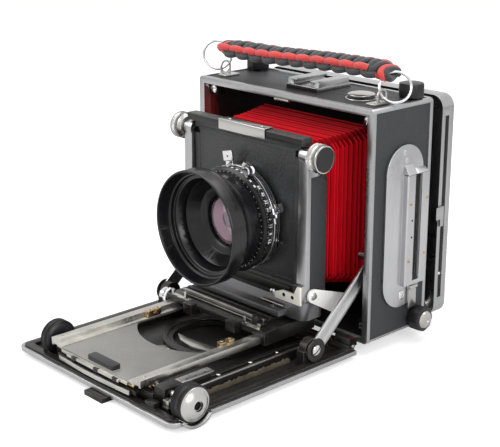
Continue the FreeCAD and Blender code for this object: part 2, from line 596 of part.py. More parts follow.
def make_focus_shaft():
    shaft_y = back("shaft_back")
    shaft = rod("X", "shaft_radius", ("3 - left_knob_outer", "knob_outer - 3"), shaft_y, "shaft_up")
    pinions = [rod("X", "pinion_radius", span, shaft_y, "shaft_up") for span in sides(("42.5", "45.5"))]
    caps, knobs = [], []
    for sign, inner, outer in (("", "knob_inner", "knob_outer"), ("-", "left_knob_inner", "left_knob_outer")):
        cap = [(f"{outer} - 3", "0"), (f"{outer} - 3", "cap_radius"), (f"{outer} - 0.6", "cap_radius"),
               (f"{outer} + 0.6", "cap_radius - 3"), (f"{outer} + 0.9", "0")]
        knob = [(inner, "shaft_radius"), (inner, "knob_radius - 3"), (f"{inner} + 2", "knob_radius"),
                (outer, "knob_radius"), (outer, "cap_radius"), (f"{outer} - 3", "cap_radius"),
                (f"{outer} - 3", "shaft_radius")]
        for pieces, profile in ((caps, cap), (knobs, knob)):
            if sign:
                profile = [(f"-({a})", r) for a, r in reversed(profile)]
            pieces.append(turned("X", ("0", shaft_y, "shaft_up"), profile, "focus_knob"))
    sub_part("focus_shaft", joined(shaft, *pinions, *caps))
    sub_part("focus_knobs", group(*knobs))


# ---------------------------------------------------------------- track and carriage
def make_track():
    ends = (back("track_front"), back("track_rear"))
    rails = []
    for sign in ("", "-"):
        outline = [("rail_inner", "rail_low"), ("rail_outer", "rail_low"), ("rail_outer", "rail_top"),
                   ("rail_outer - 7", "rail_top"), ("rail_outer - 7", "rail_ledge"),
                   ("rail_inner", "rail_ledge")]
        if sign:
            outline = [(f"-({x})", z) for x, z in reversed(outline)]
        rails.append(plate("XZ", [outline], ends, "rail"))
    for rail in rails:
        place(rail, "0", ends[1], "0")
    bridge = box(centred("rail_inner + 1"), (back("40"), ends[1]), ("rail_low", "rail_low + 1.8"))
    grooves = [box(span, (f"{ends[0]} - 1", f"{ends[1]} + 1"), ("rail_low - 1", "rail_low + 1"))
               for span in sides(("42", "46"))]
    sub_part("focus_track", minus(joined(*rails, bridge), *grooves))

    sheet_z = ("rail_low", "rail_low + plate_sheet")
    blank = box(centred("rail_inner"), (ends[0], back("cutout_apex - 22")), sheet_z)
    dish = rod("Z", "cutout_radius", ("rail_low - 1", "rail_ledge + 5"), "0",
               back("cutout_apex - cutout_radius"))
    tab = box(("-9", "18"), (back("165"), back("158")), (f"{sheet_z[1]} - 0.4", "rail_ledge + 2.6"))
    tab = rounded(tab, "1.5", along("z"))
    sub_part("track_plate", joined(minus(blank, dish), tab))

    y = (back("stop_at"), back("stop_at - stop_length"))
    waist_y = (back("stop_at - 5"), back("stop_at - 7"))
    outlines = zip(("stop_right", "stop_left"), sides(("rail_inner + 0.3", "rail_inner + 4.7")),
                   sides(("rail_inner + 0.9", "rail_inner + 4.7")), ("rail_inner + 0.9", "-rail_inner - 0.9"))
    for label, span, foot_span, barrel_x in outlines:
        block = box(span, y, ("rail_ledge + 0.8", "rail_top + 1.6"))
        foot = box(foot_span, y, ("rail_ledge + 0.2", "rail_ledge + 0.9"))
        barrel = rod("Y", "0.6", y, barrel_x, "rail_ledge + 0.8")
        waist = box(centred("rail_outer"), waist_y, ("rail_ledge + 2", "rail_top + 3"))
        sub_part(label, minus(joined(block, foot, barrel), waist))


def make_carriage():
    y = (back("carriage_front"), back("carriage_rear"))
    table = box(centred("rail_outer + 3.5"), y, ("rail_top + slide_gap", "carriage_top"))
    jaws = [box(span, y, ("rail_low - 0.6", "carriage_top"))
            for span in sides(("rail_outer + 0.2", "rail_outer + 3.5"))]
    post_y = (back("carriage_front + 5"), back("carriage_front - 1"))
    posts = [box(span, post_y, ("rail_ledge + 0.6", "carriage_top + 1")) for span in sides(("18", "27"))]
    window = box(centred("16"), (back("50"), back("30")), ("rail_low", "carriage_top + 1"))
    bore = rod("X", "2.05", ("-rail_outer - 4", "-rail_outer"), back("58"), "rail_top - 1")
    sub_part("carriage", minus(joined(table, *jaws, *posts), window, bore))

    tip = "(-rail_outer - 0.3)"
    profile = [(f"{tip} - 14", "0"), (f"{tip} - 14", "4"), (f"{tip} - 12.5", "5.5"), (f"{tip} - 9", "5.5"),
               (f"{tip} - 9", "4"), (f"{tip} - 7.5", "4"), (f"{tip} - 7.5", "6.5"), (f"{tip} - 3.6", "6.5"),
               (f"{tip} - 3.6", "2"), (tip, "2"), (tip, "0")]
    sub_part("carriage_clamp", turned("X", ("0", back("58"), "rail_top - 1"), profile, "clamp_body"))


def make_standard_base():
    y = (back("56"), back("19"))
    low = "(carriage_top + slide_gap)"
    table = box(centred("42"), y, (low, "shift_top"))
    bars = [box(centred("43"), (back(front), back(rear)), ("shift_top - 1", "shift_top + 1.6"))
            for front, rear in (("56", "53.5"), ("51", "48.5"))]
    pivot = rod("Z", "6", ("shift_top - 1", "shift_top + 3"), "0", back("27"))
    sub_part("shift_plate", joined(table, *bars, pivot))

    low = "(shift_top + slide_gap)"
    bar = box(centred("arm_outer"), (back("38"), back("17")), (low, "swing_top"))
    bar = rounded(bar, "6", along("z"))
    apron = box(centred("46"), (back("46"), back("36")), (f"{low} + 1.6", "swing_top - 7"))
    posts = [rod("Z", "post_radius", ("swing_top - 2", "post_top"), x, back("post_back"))
             for x in ("58", "-58")]
    socket = rod("Z", "6.05", ("shift_top - 2", "shift_top + 3.1"), "0", back("27"))
    sub_part("swing_base", minus(joined(bar, apron, *posts), socket))

    span = ("arm_outer + 0.8", "arm_outer + 2.6")
    outline = [(back("lever_front - 1.5"), "lever_up + 4.6"), (into("1.3"), "lever_up - 6.1"),
               (back("11.7"), "lever_up - 16.6"), (back("lever_front + 2"), "lever_up - 4.3")]
    blade = plate("YZ", [outline], span, "lever_blade")
    hub = rod("X", "4.6", span, back("lever_front"), "lever_up")
    hole = rod("X", "2.05", ("arm_outer", "arm_outer + 3"), back("lever_front"), "lever_up")
    sub_part("rise_lever", minus(joined(blade, hub), hole))


def make_standard_frame():
    """Two wedge-shaped arms joined by a low cross bar; they rise together on the base's posts."""
    arms = []
    head_back = "(front_face - tilt_back)"
    outline = [(back("37"), "arm_low"), (back("arm_rear"), "arm_low"), (back("arm_rear"), "arm_low + 84"),
               (back("tilt_back - arm_head"), "tilt_up"), (back("tilt_back + arm_head - 1"), "tilt_up"),
               (back("tilt_back + arm_head - 1"), "arm_low + 84")]
    for span in sides(("arm_inner", "arm_outer")):
        arms.append(plate("YZ", [outline], span, "arm"))
        arms.append(rod("X", "arm_head", span, head_back, "tilt_up"))
    bar = box(centred("arm_outer"), (back("32"), back("17")), ("arm_low", "panel_low - 0.8"))
    bracket_y = (back("40"), back("33.5"))
    bracket = joined(box(("45", "arm_outer"), bracket_y, ("arm_low + 0.4", "panel_low - 0.8")),
                     box(("arm_inner", "arm_outer"), bracket_y, ("arm_low + 0.4", "arm_low + 12.4")),
                     rod("X", "2", ("arm_outer - 1", "arm_outer + 4"), back("lever_front"), "lever_up"))
    cuts = [rod("Z", "post_radius + rod_clearance", ("swing_top", "post_top + 1"), x, back("post_back"))
            for x in ("58", "-58")]
    cuts.append(rod("X", "tilt_stud + hinge_fit", ("-70", "70"), head_back, "tilt_up"))
    sub_part("standard_frame", minus(joined(*arms, bar, bracket), *cuts))


def make_lens_panel():
    y = (back("panel_front"), back("panel_front - panel_thickness"))
    frame = box(centred("panel_half"), y, ("panel_low", "panel_top"))
    seat = box(centred("board_half + 0.2"), (f"{y[0]} - 1", f"{y[0]} + board_sheet + 0.1"),
               ("panel_low + 2.8", "panel_top - 2.8"))
    window = box(centred("44"), (f"{y[0]} - 1", f"{y[1]} + 1"), ("panel_low + 8", "panel_top - 8"))
    studs = rod("X", "tilt_stud + hinge_fit", ("-70", "70"), back("tilt_back"), "tilt_up")
    bar = box(centred("arm_inner + 3.5"), (back("36.2"), back("27")), ("panel_top + 0.4", "panel_top + 6"))
    neck = box(centred("panel_half"), y, ("panel_top - 1", "panel_top + 1"))
    bar = rounded(bar, "1.5", along("x"))
    keep_core = box(centred("board_half - 3"), (f"{y[0]} - 5", f"{y[1]} + 5"), ("panel_low", "panel_top"))
    body = minus(joined(frame, neck, bar), seat, window, minus(studs, keep_core))
    sub_part("lens_panel", body)

    board = box(centred("board_half"), (y[0], f"{y[0]} + board_sheet"), ("panel_low + 3", "panel_top - 3"))
    hole = rod("Y", "board_hole", (f"{y[0]} - 1", f"{y[1]} + 1"), "0", "lens_up")
    sub_part("lens_board", minus(board, hole))

    face = box(centred("23"), (back("37.6"), back("36.4")), ("panel_top - 0.2", "panel_top + 7.2"))
    cap = box(centred("23"), (back("37.6"), back("29")), ("panel_top + 6.2", "panel_top + 7.2"))
    sub_part("board_lock_slider", joined(face, cap))

    tip = "(panel_half - 4)"
    side = "(arm_outer + 0.4)"
    end = f"({side} + tilt_knob_length)"
    profile = [(tip, "0"), (tip, "tilt_stud"), (side, "tilt_stud"), (side, "tilt_knob_radius - 2.5"),
               (f"{side} + 1.5", "tilt_knob_radius - 2.5"), (f"{side} + 1.5", "tilt_knob_radius"),
               (f"{end} - 1", "tilt_knob_radius"), (end, "tilt_knob_radius - 0.9"), (end, "0")]
    for label, sign in (("tilt_knob_right", ""), ("tilt_knob_left", "-")):
        points = profile if not sign else [(f"-({a})", r) for a, r in reversed(profile)]
        sub_part(label, turned("X", ("0", back("tilt_back"), "tilt_up"), points, label + "_body"))


# ---------------------------------------------------------------- lens and shutter
def lens_turned(label, profile):
    """Profile points are (distance in front of the casing's face, radius)."""
    points = [(back(distance), radius) for distance, radius in profile]
    return sub_part(label, turned("Y", ("0", "0", "lens_up"), points, label + "_body"))


def make_lens():
    seat = "panel_front"
    nose = "(panel_front + shutter_depth)"
    lens_turned("shutter_housing", [
        (seat, "shutter_radius - 3"), (f"{seat} + 1.5", "shutter_radius - 1.5"),
        (f"{nose} - 1.5", "shutter_radius - 1.5"),
        (nose, "shutter_radius - 3"), (nose, "cell_radius - 1"), (f"{nose} - 1", "cell_radius - 1"),
        (f"{nose} - 1", "20"), ("panel_front - 8", "20"), ("panel_front - 8", "board_hole - 0.4"),
        (seat, "board_hole - 0.4")])
    lens_turned("speed_ring", [
        (f"{nose} + 0.1", "shutter_radius"), (f"{nose} + 1.6", "shutter_radius"),
        (f"{nose} + 4", "cell_radius + 1.2"),
        (f"{nose} + 4", "cell_radius + 0.15"), (f"{nose} + 0.1", "cell_radius + 0.15")])
    front = turned("Y", ("0", "0", "lens_up"), [(back(a), r) for a, r in [
        (f"{nose} - 1", "19"), (f"{nose} - 1", "cell_radius - 1.2"), (f"{nose} + 0.1", "cell_radius - 1.2"),
        (f"{nose} + 0.1", "cell_radius"), ("hood_seat - 1", "cell_radius"), ("hood_seat", "cell_radius - 1"),
        ("hood_seat", "cell_radius - 3"), (f"{nose} + 8", "24"), (f"{nose} + 7", "glass_radius + 1.5"),
        (f"{nose} + 6", "glass_radius + 0.1"), (f"{nose} + 1", "glass_radius + 0.1"),
        (f"{nose} + 1", "glass_radius - 1"), (f"{nose} - 1", "glass_radius - 1")]], "front_cell")
    rear = turned("Y", ("0", "0", "lens_up"), [(back(a), r) for a, r in [
        ("panel_front - 8", "17"), ("panel_front - 8", "24"), ("panel_front - 11", "24"),
        ("panel_front - 17", "19"), ("panel_front - 17", "15.1"), ("panel_front - 13", "15.1"),
        ("panel_front - 13", "14.2"), ("panel_front - 8", "14.2")]], "rear_cell")
    sub_part("lens_cells", group(front, rear))

    front_glass = turned("Y", ("0", "0", "lens_up"), [(back(a), r) for a, r in [
        (f"{nose} + 1", "0"), (f"{nose} + 1", "glass_radius"), (f"{nose} + 3", "glass_radius"),
        (f"{nose} + 4.6", "glass_radius * 0.72"), (f"{nose} + 5.4", "glass_radius * 0.4"),
        (f"{nose} + 5.7", "0")]], "front_element")
    rear_glass = turned("Y", ("0", "0", "lens_up"), [(back(a), r) for a, r in [
        ("panel_front - 13", "0"), ("panel_front - 13", "15"), ("panel_front - 14.5", "15"),
        ("panel_front - 16", "8"), ("panel_front - 16.4", "0")]], "rear_element")
    sub_part("lens_elements", group(front_glass, rear_glass))

    lens_turned("shutter_blades", [
        (f"{seat} + 6", "7"), (f"{seat} + 6", "20"), (f"{seat} + 7", "20"), (f"{seat} + 7", "7")])

    lens_turned("lens_hood", [
        ("hood_seat", "cell_radius - 3"), ("hood_seat", "cell_radius + 0.6"),
        ("hood_seat + 1.5", "cell_radius + 1.6"), ("hood_front - 12", "hood_radius"),
        ("hood_front - 0.6", "hood_radius"), ("hood_front", "hood_radius - 0.6"),
        ("hood_front", "hood_radius - 1.6"), ("hood_front - 9", "hood_radius - 3.4"),
        ("hood_front - 9", "hood_radius - 4.6"), ("hood_front - 12", "hood_radius - 5"),
        ("hood_front - 12", "hood_radius - 7.5"), ("hood_seat + 2", "cell_radius - 3")])


def shutter_lever(label, angle, ring_span, arm, head):
    """A thin ring round the shutter with an arm and a grip standing out at an angle from +X."""
    inner = "(shutter_radius - 1.4)"
    ring = [(back(ring_span[0]), inner), (back(ring_span[0]), f"{inner} + 1.3"),
            (back(ring_span[1]), f"{inner} + 1.3"), (back(ring_span[1]), inner)]
    band = turned("Y", ("0", "0", "lens_up"), ring, label + "_ring")
    low, high, width = arm
    bar_y = (back(ring_span[0]), back(ring_span[1]))
    bar = box((f"{inner} + {low}", f"{inner} + {high}"), bar_y, centred(width))
    grip_low, grip_high, grip_width, front, rear = head
    grip = box((f"{inner} + {grip_low}", f"{inner} + {grip_high}"), (back(front), back(rear)),
               centred(grip_width))
    grip = rounded(grip, "0.8", along("y"))
    handle = joined(bar, grip)
    handle.Placement.Rotation = FreeCAD.Rotation(Vector(0, 1, 0), -angle)
    place(handle, "0", "0", "lens_up")
    sub_part(label, joined(band, handle))


def make_shutter_levers():
    seat = "panel_front"
    levers = (
        ("aperture_lever", 20, ("4.2", "3"), ("0.8", "4", "3"), ("2.5", "7", "3"), ("7", "3")),
        ("cocking_lever", 72, ("9.6", "8.4"), ("0.8", "4", "2.5"), ("2.5", "7.5", "3.2"), ("12", "8.4")),
        ("release_lever", -14, ("6", "4.8"), ("0.8", "5", "1.5"), ("4", "8", "1.5"), ("8", "4.8")),
        ("press_focus_lever", 103, ("7.8", "6.6"), ("0.8", "5", "3.5"), ("4", "11", "4.6"), ("8.4", "6.6")))
    for label, angle, ring, arm, grip, depth in levers:
        ring_span = [f"{seat} + {out}" for out in ring]
        grip_span = [f"{seat} + {out}" for out in depth]
        shutter_lever(label, angle, ring_span, arm, (*grip, *grip_span))


# ---------------------------------------------------------------- bellows
PLEATS = (("bellows_drop", 4), ("bellows_focus", 3), ("bellows_carriage", 3), ("bellows_shift", 1),
          ("bellows_swing", 2), ("bellows_rise", 2), ("bellows_tilt", 1))


def make_bellows():
    """One closed tube per section; a section lies between two bodies joined by one joint."""
    total = sum(count for _, count in PLEATS)
    done = 0
    for label, count in PLEATS:
        start, end = done, done + count
        share = (start + end) / 2 / total
        half = f"(bellows_rear_half + (bellows_front_half - bellows_rear_half) * {share})"
        low = f"(bellows_rear_low + (bellows_front_low - bellows_rear_low) * {share})"
        top = f"(bellows_rear_top + (bellows_front_top - bellows_rear_top) * {share})"
        y = (into(f"(bellows_wall_at - {end} * pleat_pitch)"),
             into(f"(bellows_wall_at - {start} * pleat_pitch)"))
        outer = box(centred(half), y, (low, top))
        inner = box(centred(f"{half} - bellows_skin"), (f"{y[0]} - 1", f"{y[1]} + 1"),
                    (f"{low} + bellows_skin", f"{top} - bellows_skin"))
        sub_part(label, minus(outer, inner))
        done = end


# ---------------------------------------------------------------- carrying strap
RING_LEANS = ((1, Vector(0.45, 0.72, 0.53)), (-1, Vector(-0.45, -0.36, 0.82)))
RING_FACES = Vector(0.45, -0.85, 0.28)


def ring_at(side, lean, wire):
    """A ring that passes through a lug's eye and leans outwards from it."""
    outward = Vector(lean)
    outward.normalize()
    normal = RING_FACES - outward * RING_FACES.dot(outward)
    normal.normalize()
    eye = Vector(number("lug_x") * side, number(into("lug_back")), number("lug_up"))
    torus = doc.addObject("Part::Torus", "ring")
    bind(torus, Radius1="ring_radius", Radius2=wire)
    centre = eye + outward * number("ring_radius")
    torus.Placement = FreeCAD.Placement(centre, FreeCAD.Rotation(Vector(0, 0, 1), normal))
    return torus


def make_strap():
    sub_part("strap_rings", group(*[ring_at(side, lean, "ring_wire") for side, lean in RING_LEANS]))
    half = "strap_thickness / 2"
    line = [("0", "1.5"), ("10", "0.5"), ("50", "-0.5"), ("100", "0.5"), ("140", "0"), ("154", "-3")]
    upper = [(x, f"strap_up + {z} + {half}") for x, z in line]
    lower = [(x, f"strap_up + {z} - {half}") for x, z in reversed(line)]
    band = plate("XZ", [upper + lower], centred("strap_width / 2"), "strap_body")
    band.Placement.Rotation = FreeCAD.Rotation(Vector(0, 0, 1), 7)
    bind(band, **{"Placement.Base.x": "-74 + strap_width / 2 * -sin(7)",
                  "Placement.Base.y": into("10 + strap_width / 2")})
    sub_part("strap", minus(band, *[ring_at(side, lean, "ring_wire + 0.1") for side, lean in RING_LEANS]))


make_casing()
make_base_plate()
make_body_fittings()
make_accessory_shoe()
make_strap_lugs()
make_grip_plate()
make_release_button()
make_grip_lever()
make_back()
make_lock_knobs()
make_revolving_back()
make_bed()
make_bed_guides()
make_strut_brackets()
make_struts()
make_focus_shaft()
make_track()
make_carriage()
make_standard_base()
make_standard_frame()
make_lens_panel()
make_lens()
make_shutter_levers()
make_bellows()
make_strap()
doc.recompute()

for obj in doc.Objects:
    if "Invalid" in obj.State or "Error" in obj.State:
        raise RuntimeError(f"{obj.Name} ({obj.Label}) did not compute: {obj.State}")
for piece in PIECES:
    if piece.Shape.isNull() or not piece.Shape.isValid() or not piece.Shape.Solids:
        raise RuntimeError(f"{piece.Label} has no valid solid")

os.makedirs("parts", exist_ok=True)
for piece in PIECES:
    piece.Shape.exportStep(f"parts/{piece.Label}.step")
print(len(PIECES), "sub-parts written")
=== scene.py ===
import json
import math

import bpy
from mathutils import Matrix, Vector

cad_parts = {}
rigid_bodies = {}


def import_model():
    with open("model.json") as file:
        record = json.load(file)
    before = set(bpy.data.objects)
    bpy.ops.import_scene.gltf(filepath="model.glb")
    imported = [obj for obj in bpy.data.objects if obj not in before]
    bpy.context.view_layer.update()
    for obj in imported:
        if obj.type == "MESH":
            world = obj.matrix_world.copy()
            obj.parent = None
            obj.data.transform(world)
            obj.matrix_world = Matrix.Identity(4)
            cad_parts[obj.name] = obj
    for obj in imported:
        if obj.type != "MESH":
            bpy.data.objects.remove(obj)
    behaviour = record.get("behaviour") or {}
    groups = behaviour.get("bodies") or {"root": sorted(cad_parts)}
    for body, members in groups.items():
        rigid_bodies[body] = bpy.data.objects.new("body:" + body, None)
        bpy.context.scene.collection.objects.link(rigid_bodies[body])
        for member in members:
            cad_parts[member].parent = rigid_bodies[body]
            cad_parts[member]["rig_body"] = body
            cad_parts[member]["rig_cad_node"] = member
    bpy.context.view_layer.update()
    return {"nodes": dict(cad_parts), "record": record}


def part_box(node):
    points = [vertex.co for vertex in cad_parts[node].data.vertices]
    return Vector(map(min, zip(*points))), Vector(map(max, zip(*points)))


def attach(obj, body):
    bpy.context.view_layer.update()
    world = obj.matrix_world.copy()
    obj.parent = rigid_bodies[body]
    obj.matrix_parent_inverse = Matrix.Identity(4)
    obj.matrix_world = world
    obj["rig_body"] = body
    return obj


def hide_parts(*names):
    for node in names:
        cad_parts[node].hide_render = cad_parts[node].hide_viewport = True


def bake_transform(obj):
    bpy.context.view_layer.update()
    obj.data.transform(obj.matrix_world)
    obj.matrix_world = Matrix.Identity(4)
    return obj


bl_info = {
    "name": "Folding Field Camera",
    "version": (1, 0, 0),
    "blender": (4, 5, 0),
    "location": "View3D > Sidebar > Field Camera",
    "description": "Models and finishes a folding field camera around its packed mechanism",
    "category": "Object",
}

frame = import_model()
NODES = frame["nodes"]
MM = 0.001
LENS_AXIS_Z = 90.5
BACK_MIDDLE_Z = 91
TILT_AXIS = (0, -61, 143)
STRUT_PIVOT = (0, -73, 16)
BELLOWS_REAR_Y, BELLOWS_LENGTH, BELLOWS_PITCH = 6.0, 63.0, 3.9375
BELLOWS_REAR_HALF, BELLOWS_REAR_LOW, BELLOWS_REAR_HIGH = 59.0, 36.0, 152.0
BELLOWS_TAPER_HALF, BELLOWS_TAPER_LOW, BELLOWS_TAPER_HIGH = 8.0, 14.0, 5.0
# each section of the bellows: its node, its pleats and the two bodies it joins, rear to front
BELLOWS = (("bellows_drop", 4, "camera_body", "bed"), ("bellows_focus", 3, "bed", "track"),
           ("bellows_carriage", 3, "track", "carriage_body"), ("bellows_shift", 1, "carriage_body",
                                                               "shift_body"),
           ("bellows_swing", 2, "shift_body", "swing_body"), ("bellows_rise", 2, "swing_body", "standard"),
           ("bellows_tilt", 1, "standard", "lens_front"))


def corners(node):
    """Lowest and highest corner of a CAD node, in millimetres."""
    low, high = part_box(node)
    return low * 1000, high * 1000


# ---------------------------------------------------------------- modelling helpers
DIRECTION = {"X": Vector((1, 0, 0)), "Y": Vector((0, 1, 0)), "Z": Vector((0, 0, 1))}
ACROSS = {"X": Vector((0, 0, 1)), "Y": Vector((0, 0, 1)), "Z": Vector((1, 0, 0))}
UPRIGHT = {"X": (0, math.pi / 2, 0), "Y": (math.pi / 2, 0, 0), "Z": (0, 0, 0)}
FLAT = {"XY": ((1, 0, 0), (0, 1, 0), (0, 0, 1)), "XZ": ((1, 0, 0), (0, 0, 1), (0, 1, 0)),
        "YZ": ((0, 1, 0), (0, 0, 1), (1, 0, 0))}


def clear_selection():
    if bpy.context.object and bpy.context.object.mode != "OBJECT":
        bpy.ops.object.mode_set(mode="OBJECT")
    bpy.ops.object.select_all(action="DESELECT")


def only(piece):
    clear_selection()
    piece.select_set(True)
    bpy.context.view_layer.objects.active = piece


def settle(name):
    """Names the object that was just added and puts its place into its mesh."""
    piece = bpy.context.object
    piece.name = piece.data.name = name
    only(piece)
    bpy.ops.object.transform_apply(location=True, rotation=True, scale=True)
    return piece


def edit_all(piece):
    only(piece)
    bpy.ops.object.mode_set(mode="EDIT")
    bpy.ops.mesh.select_all(action="SELECT")


def done_editing():
    bpy.ops.object.mode_set(mode="OBJECT")


def shade(piece, angle=32):
    only(piece)
    bpy.ops.object.shade_smooth_by_angle(angle=math.radians(angle))
    return piece


def modify(piece, kind, **values):
    only(piece)
    modifier = piece.modifiers.new(kind.title(), kind)
    for name, value in values.items():
        setattr(modifier, name, value)
    bpy.ops.object.modifier_apply(modifier=modifier.name)
    return piece


def soften(piece, width, segments=2, angle=28):
    if width:
        modify(piece, "BEVEL", width=width * MM, segments=segments, limit_method="ANGLE",
               angle_limit=math.radians(angle), miter_outer="MITER_ARC", use_clamp_overlap=True)
    return shade(piece)


def outward(piece):
    edit_all(piece)
    bpy.ops.mesh.remove_doubles(threshold=0.000002)
    bpy.ops.mesh.select_all(action="SELECT")
    bpy.ops.mesh.normals_make_consistent(inside=False)
    done_editing()
    return piece


def block(name, low, high, soft=0.3, segments=2):
    low, high = Vector(low) * MM, Vector(high) * MM
    clear_selection()
    bpy.ops.mesh.primitive_cube_add(size=1, location=(low + high) / 2)
    bpy.context.object.scale = high - low
    return soften(settle(name), soft, segments)


def bar(name, axis, radius, span, at, soft=0.3, sides=40):
    """A round bar along an axis; at holds the two other coordinates of its middle line."""
    middle = list(at)
    middle.insert("XYZ".index(axis), (span[0] + span[1]) / 2)
    clear_selection()
    bpy.ops.mesh.primitive_cylinder_add(vertices=sides, radius=radius * MM, depth=abs(span[1] - span[0]) * MM,
                                        location=Vector(middle) * MM, rotation=UPRIGHT[axis])
    return soften(settle(name), soft)


def spun(name, axis, at, profile, steps=72):
    """A closed profile of (place along the axis, radius) turned round the axis through at."""
    axle, across, centre = DIRECTION[axis], ACROSS[axis], Vector(at) * MM
    clear_selection()
    bpy.ops.mesh.primitive_circle_add(vertices=len(profile), radius=0.01)
    piece = settle(name)
    base = centre - axle * centre.dot(axle)
    for vertex, (place, radius) in zip(piece.data.vertices, profile):
        vertex.co = base + axle * place * MM + across * radius * MM
    edit_all(piece)
    bpy.ops.mesh.spin(steps=steps, angle=2 * math.pi, center=centre, axis=axle)
    done_editing()
    return shade(outward(piece))


def plate(name, plane, outline, span, soft=0.3):
    """A flat outline of (u, v) points pushed out along the plane's normal."""
    u, v, n = (Vector(axis) for axis in FLAT[plane])
    clear_selection()
    bpy.ops.mesh.primitive_circle_add(vertices=len(outline), radius=0.01, fill_type="NGON")
    piece = settle(name)
    for vertex, (a, b) in zip(piece.data.vertices, outline):
        vertex.co = (u * a + v * b + n * span[0]) * MM
    edit_all(piece)
    bpy.ops.mesh.extrude_region_move(TRANSFORM_OT_translate={"value": n * (span[1] - span[0]) * MM})
    done_editing()
    return soften(outward(piece), soft)


def sheet(name, rows, wall, angle=32):
    """A surface with a wall, through closed rows of points that are all the same length."""
    clear_selection()
    bpy.ops.mesh.primitive_grid_add(x_subdivisions=len(rows[0]), y_subdivisions=len(rows) - 1, size=1)
    piece = settle(name)
    points = [point for row in rows for point in (*row, row[0])]
    for vertex, point in zip(piece.data.vertices, points):
        vertex.co = Vector(point) * MM
    modify(outward(piece), "SOLIDIFY", thickness=wall * MM, offset=-1)
    return shade(piece, angle)


def knurl(piece, axis, at, radius, span, depth=0.35, margin=0.12, every=2):
    """Sinks one face in so many (every) of a turned rim, so that the rim is ribbed."""
    axle, centre = DIRECTION[axis], Vector(at) * MM
    rim = []
    for face in piece.data.polygons:
        offset = face.center - centre
        place = face.center.dot(axle) / MM
        flat = offset - axle * offset.dot(axle)
        away = flat.length / MM
        if span[0] < place < span[1] and abs(away - radius) < 0.35 and abs(face.normal.dot(axle)) < 0.3:
            side = axle.cross(ACROSS[axis])
            rim.append((math.atan2(flat.dot(side), flat.dot(ACROSS[axis])), face.index))
    rim.sort()
    edit_all(piece)
    bpy.ops.mesh.select_all(action="DESELECT")
    done_editing()
    for count, (_, index) in enumerate(rim):
        piece.data.polygons[index].select = count % every == 0
    only(piece)
    bpy.ops.object.mode_set(mode="EDIT")
    bpy.ops.mesh.select_mode(type="FACE")
    bpy.ops.mesh.inset(use_individual=True, thickness=margin * MM, depth=-depth * MM)
    bpy.ops.mesh.select_mode(type="VERT")
    done_editing()
    return piece


def carve(piece, *tools):
    """Cuts the tools out of the piece and removes them."""
    for tool in tools:
        modify(piece, "BOOLEAN", object=tool, operation="DIFFERENCE", solver="EXACT")
        bpy.data.objects.remove(tool)
    return shade(piece)


def copied(piece, name, matrix):
    """A copy with its own mesh, moved by the matrix, in millimetres."""
    move = matrix.copy()
    move.translation = matrix.translation * MM
    twin = piece.copy()
    twin.data = piece.data.copy()
    twin.name = twin.data.name = name
    bpy.context.scene.collection.objects.link(twin)
    twin.data.transform(move)
    return twin


def joined(name, pieces):
    clear_selection()
    for piece in pieces:
        piece.select_set(True)
    bpy.context.view_layer.objects.active = pieces[0]
    bpy.ops.object.join()
    pieces[0].name = pieces[0].data.name = name
    return pieces[0]


def mirrored(piece, name):
    """The same piece on the other side of the camera."""
    twin = copied(piece, name, Matrix.Scale(-1, 4, (1, 0, 0)))
    edit_all(twin)
    bpy.ops.mesh.flip_normals()
    done_editing()
    return twin


def with_left_copies(pieces):
    """The pieces, made for the right side, and then their mirror images."""
    return [*pieces, *(mirrored(piece, piece.name + "_left") for piece in pieces)]


def sent_left(piece, name):
    """Puts a piece that was made for the right side on the left instead."""
    left = mirrored(piece, name)
    bpy.data.objects.remove(piece)
    return left


def coat(piece, *materials):
    """Gives the piece its materials; the first covers it all until faces are picked."""
    piece.data.materials.clear()
    for material in materials:
        piece.data.materials.append(material)
    for face in piece.data.polygons:
        face.material_index = 0
    return piece


def pick(piece, index, wanted):
    """Gives a material to the faces for which wanted(centre in mm, normal) is true."""
    for face in piece.data.polygons:
        if wanted(face.center * 1000, face.normal):
            face.material_index = index
    return piece


def on(piece, body, slot, *replaced):
    """The piece rides on a body and stands for the CAD nodes named; the finish slot it takes is not used."""
    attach(piece, body)
    if replaced:
        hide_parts(*replaced)
    return piece


def refined(node, soft, body, slot, *materials, segments=2, angle=28):
    """A copy of a CAD node with its triangles merged and its edges eased, shown in the node's place."""
    source = NODES[node]
    piece = source.copy()
    piece.data = source.data.copy()
    piece.name = piece.data.name = node + "_finished"
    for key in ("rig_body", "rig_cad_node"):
        if key in piece:
            del piece[key]
    piece.parent = None
    bpy.context.scene.collection.objects.link(piece)
    edit_all(piece)
    bpy.ops.mesh.customdata_custom_splitnormals_clear()
    bpy.ops.mesh.remove_doubles(threshold=0.000004)
    bpy.ops.mesh.select_all(action="SELECT")
    bpy.ops.mesh.dissolve_limited(angle_limit=math.radians(0.6))
    done_editing()
    coat(piece, *materials)
    soften(piece, soft, segments, angle)
    on(piece, body, slot, node)
    return piece


# ---------------------------------------------------------------- shared shader groups
def new_group(name, inputs, outputs):
    tree = bpy.data.node_groups.new(name, "ShaderNodeTree")
    for label, kind, default in inputs:
        socket = tree.interface.new_socket(label, in_out="INPUT", socket_type=kind)
        socket.default_value = default
    for label, kind in outputs:
        tree.interface.new_socket(label, in_out="OUTPUT", socket_type=kind)
    return tree, tree.nodes.new("NodeGroupInput"), tree.nodes.new("NodeGroupOutput")


def wired(tree, kind, links=(), **values):
    """A new node with its settings and its inputs linked by name or number."""
    node = tree.nodes.new(kind)
    for name, value in values.items():
        setattr(node, name, value)
    for key, source in dict(links).items():
        socket = node.inputs[key]
        if isinstance(source, bpy.types.NodeSocket):
            tree.links.new(source, socket)
        else:
            socket.default_value = source
    return node


def maths(tree, operation, a, b=0.0, clamp=False):
    return wired(tree, "ShaderNodeMath", {0: a, 1: b}, operation=operation, use_clamp=clamp).outputs[0]


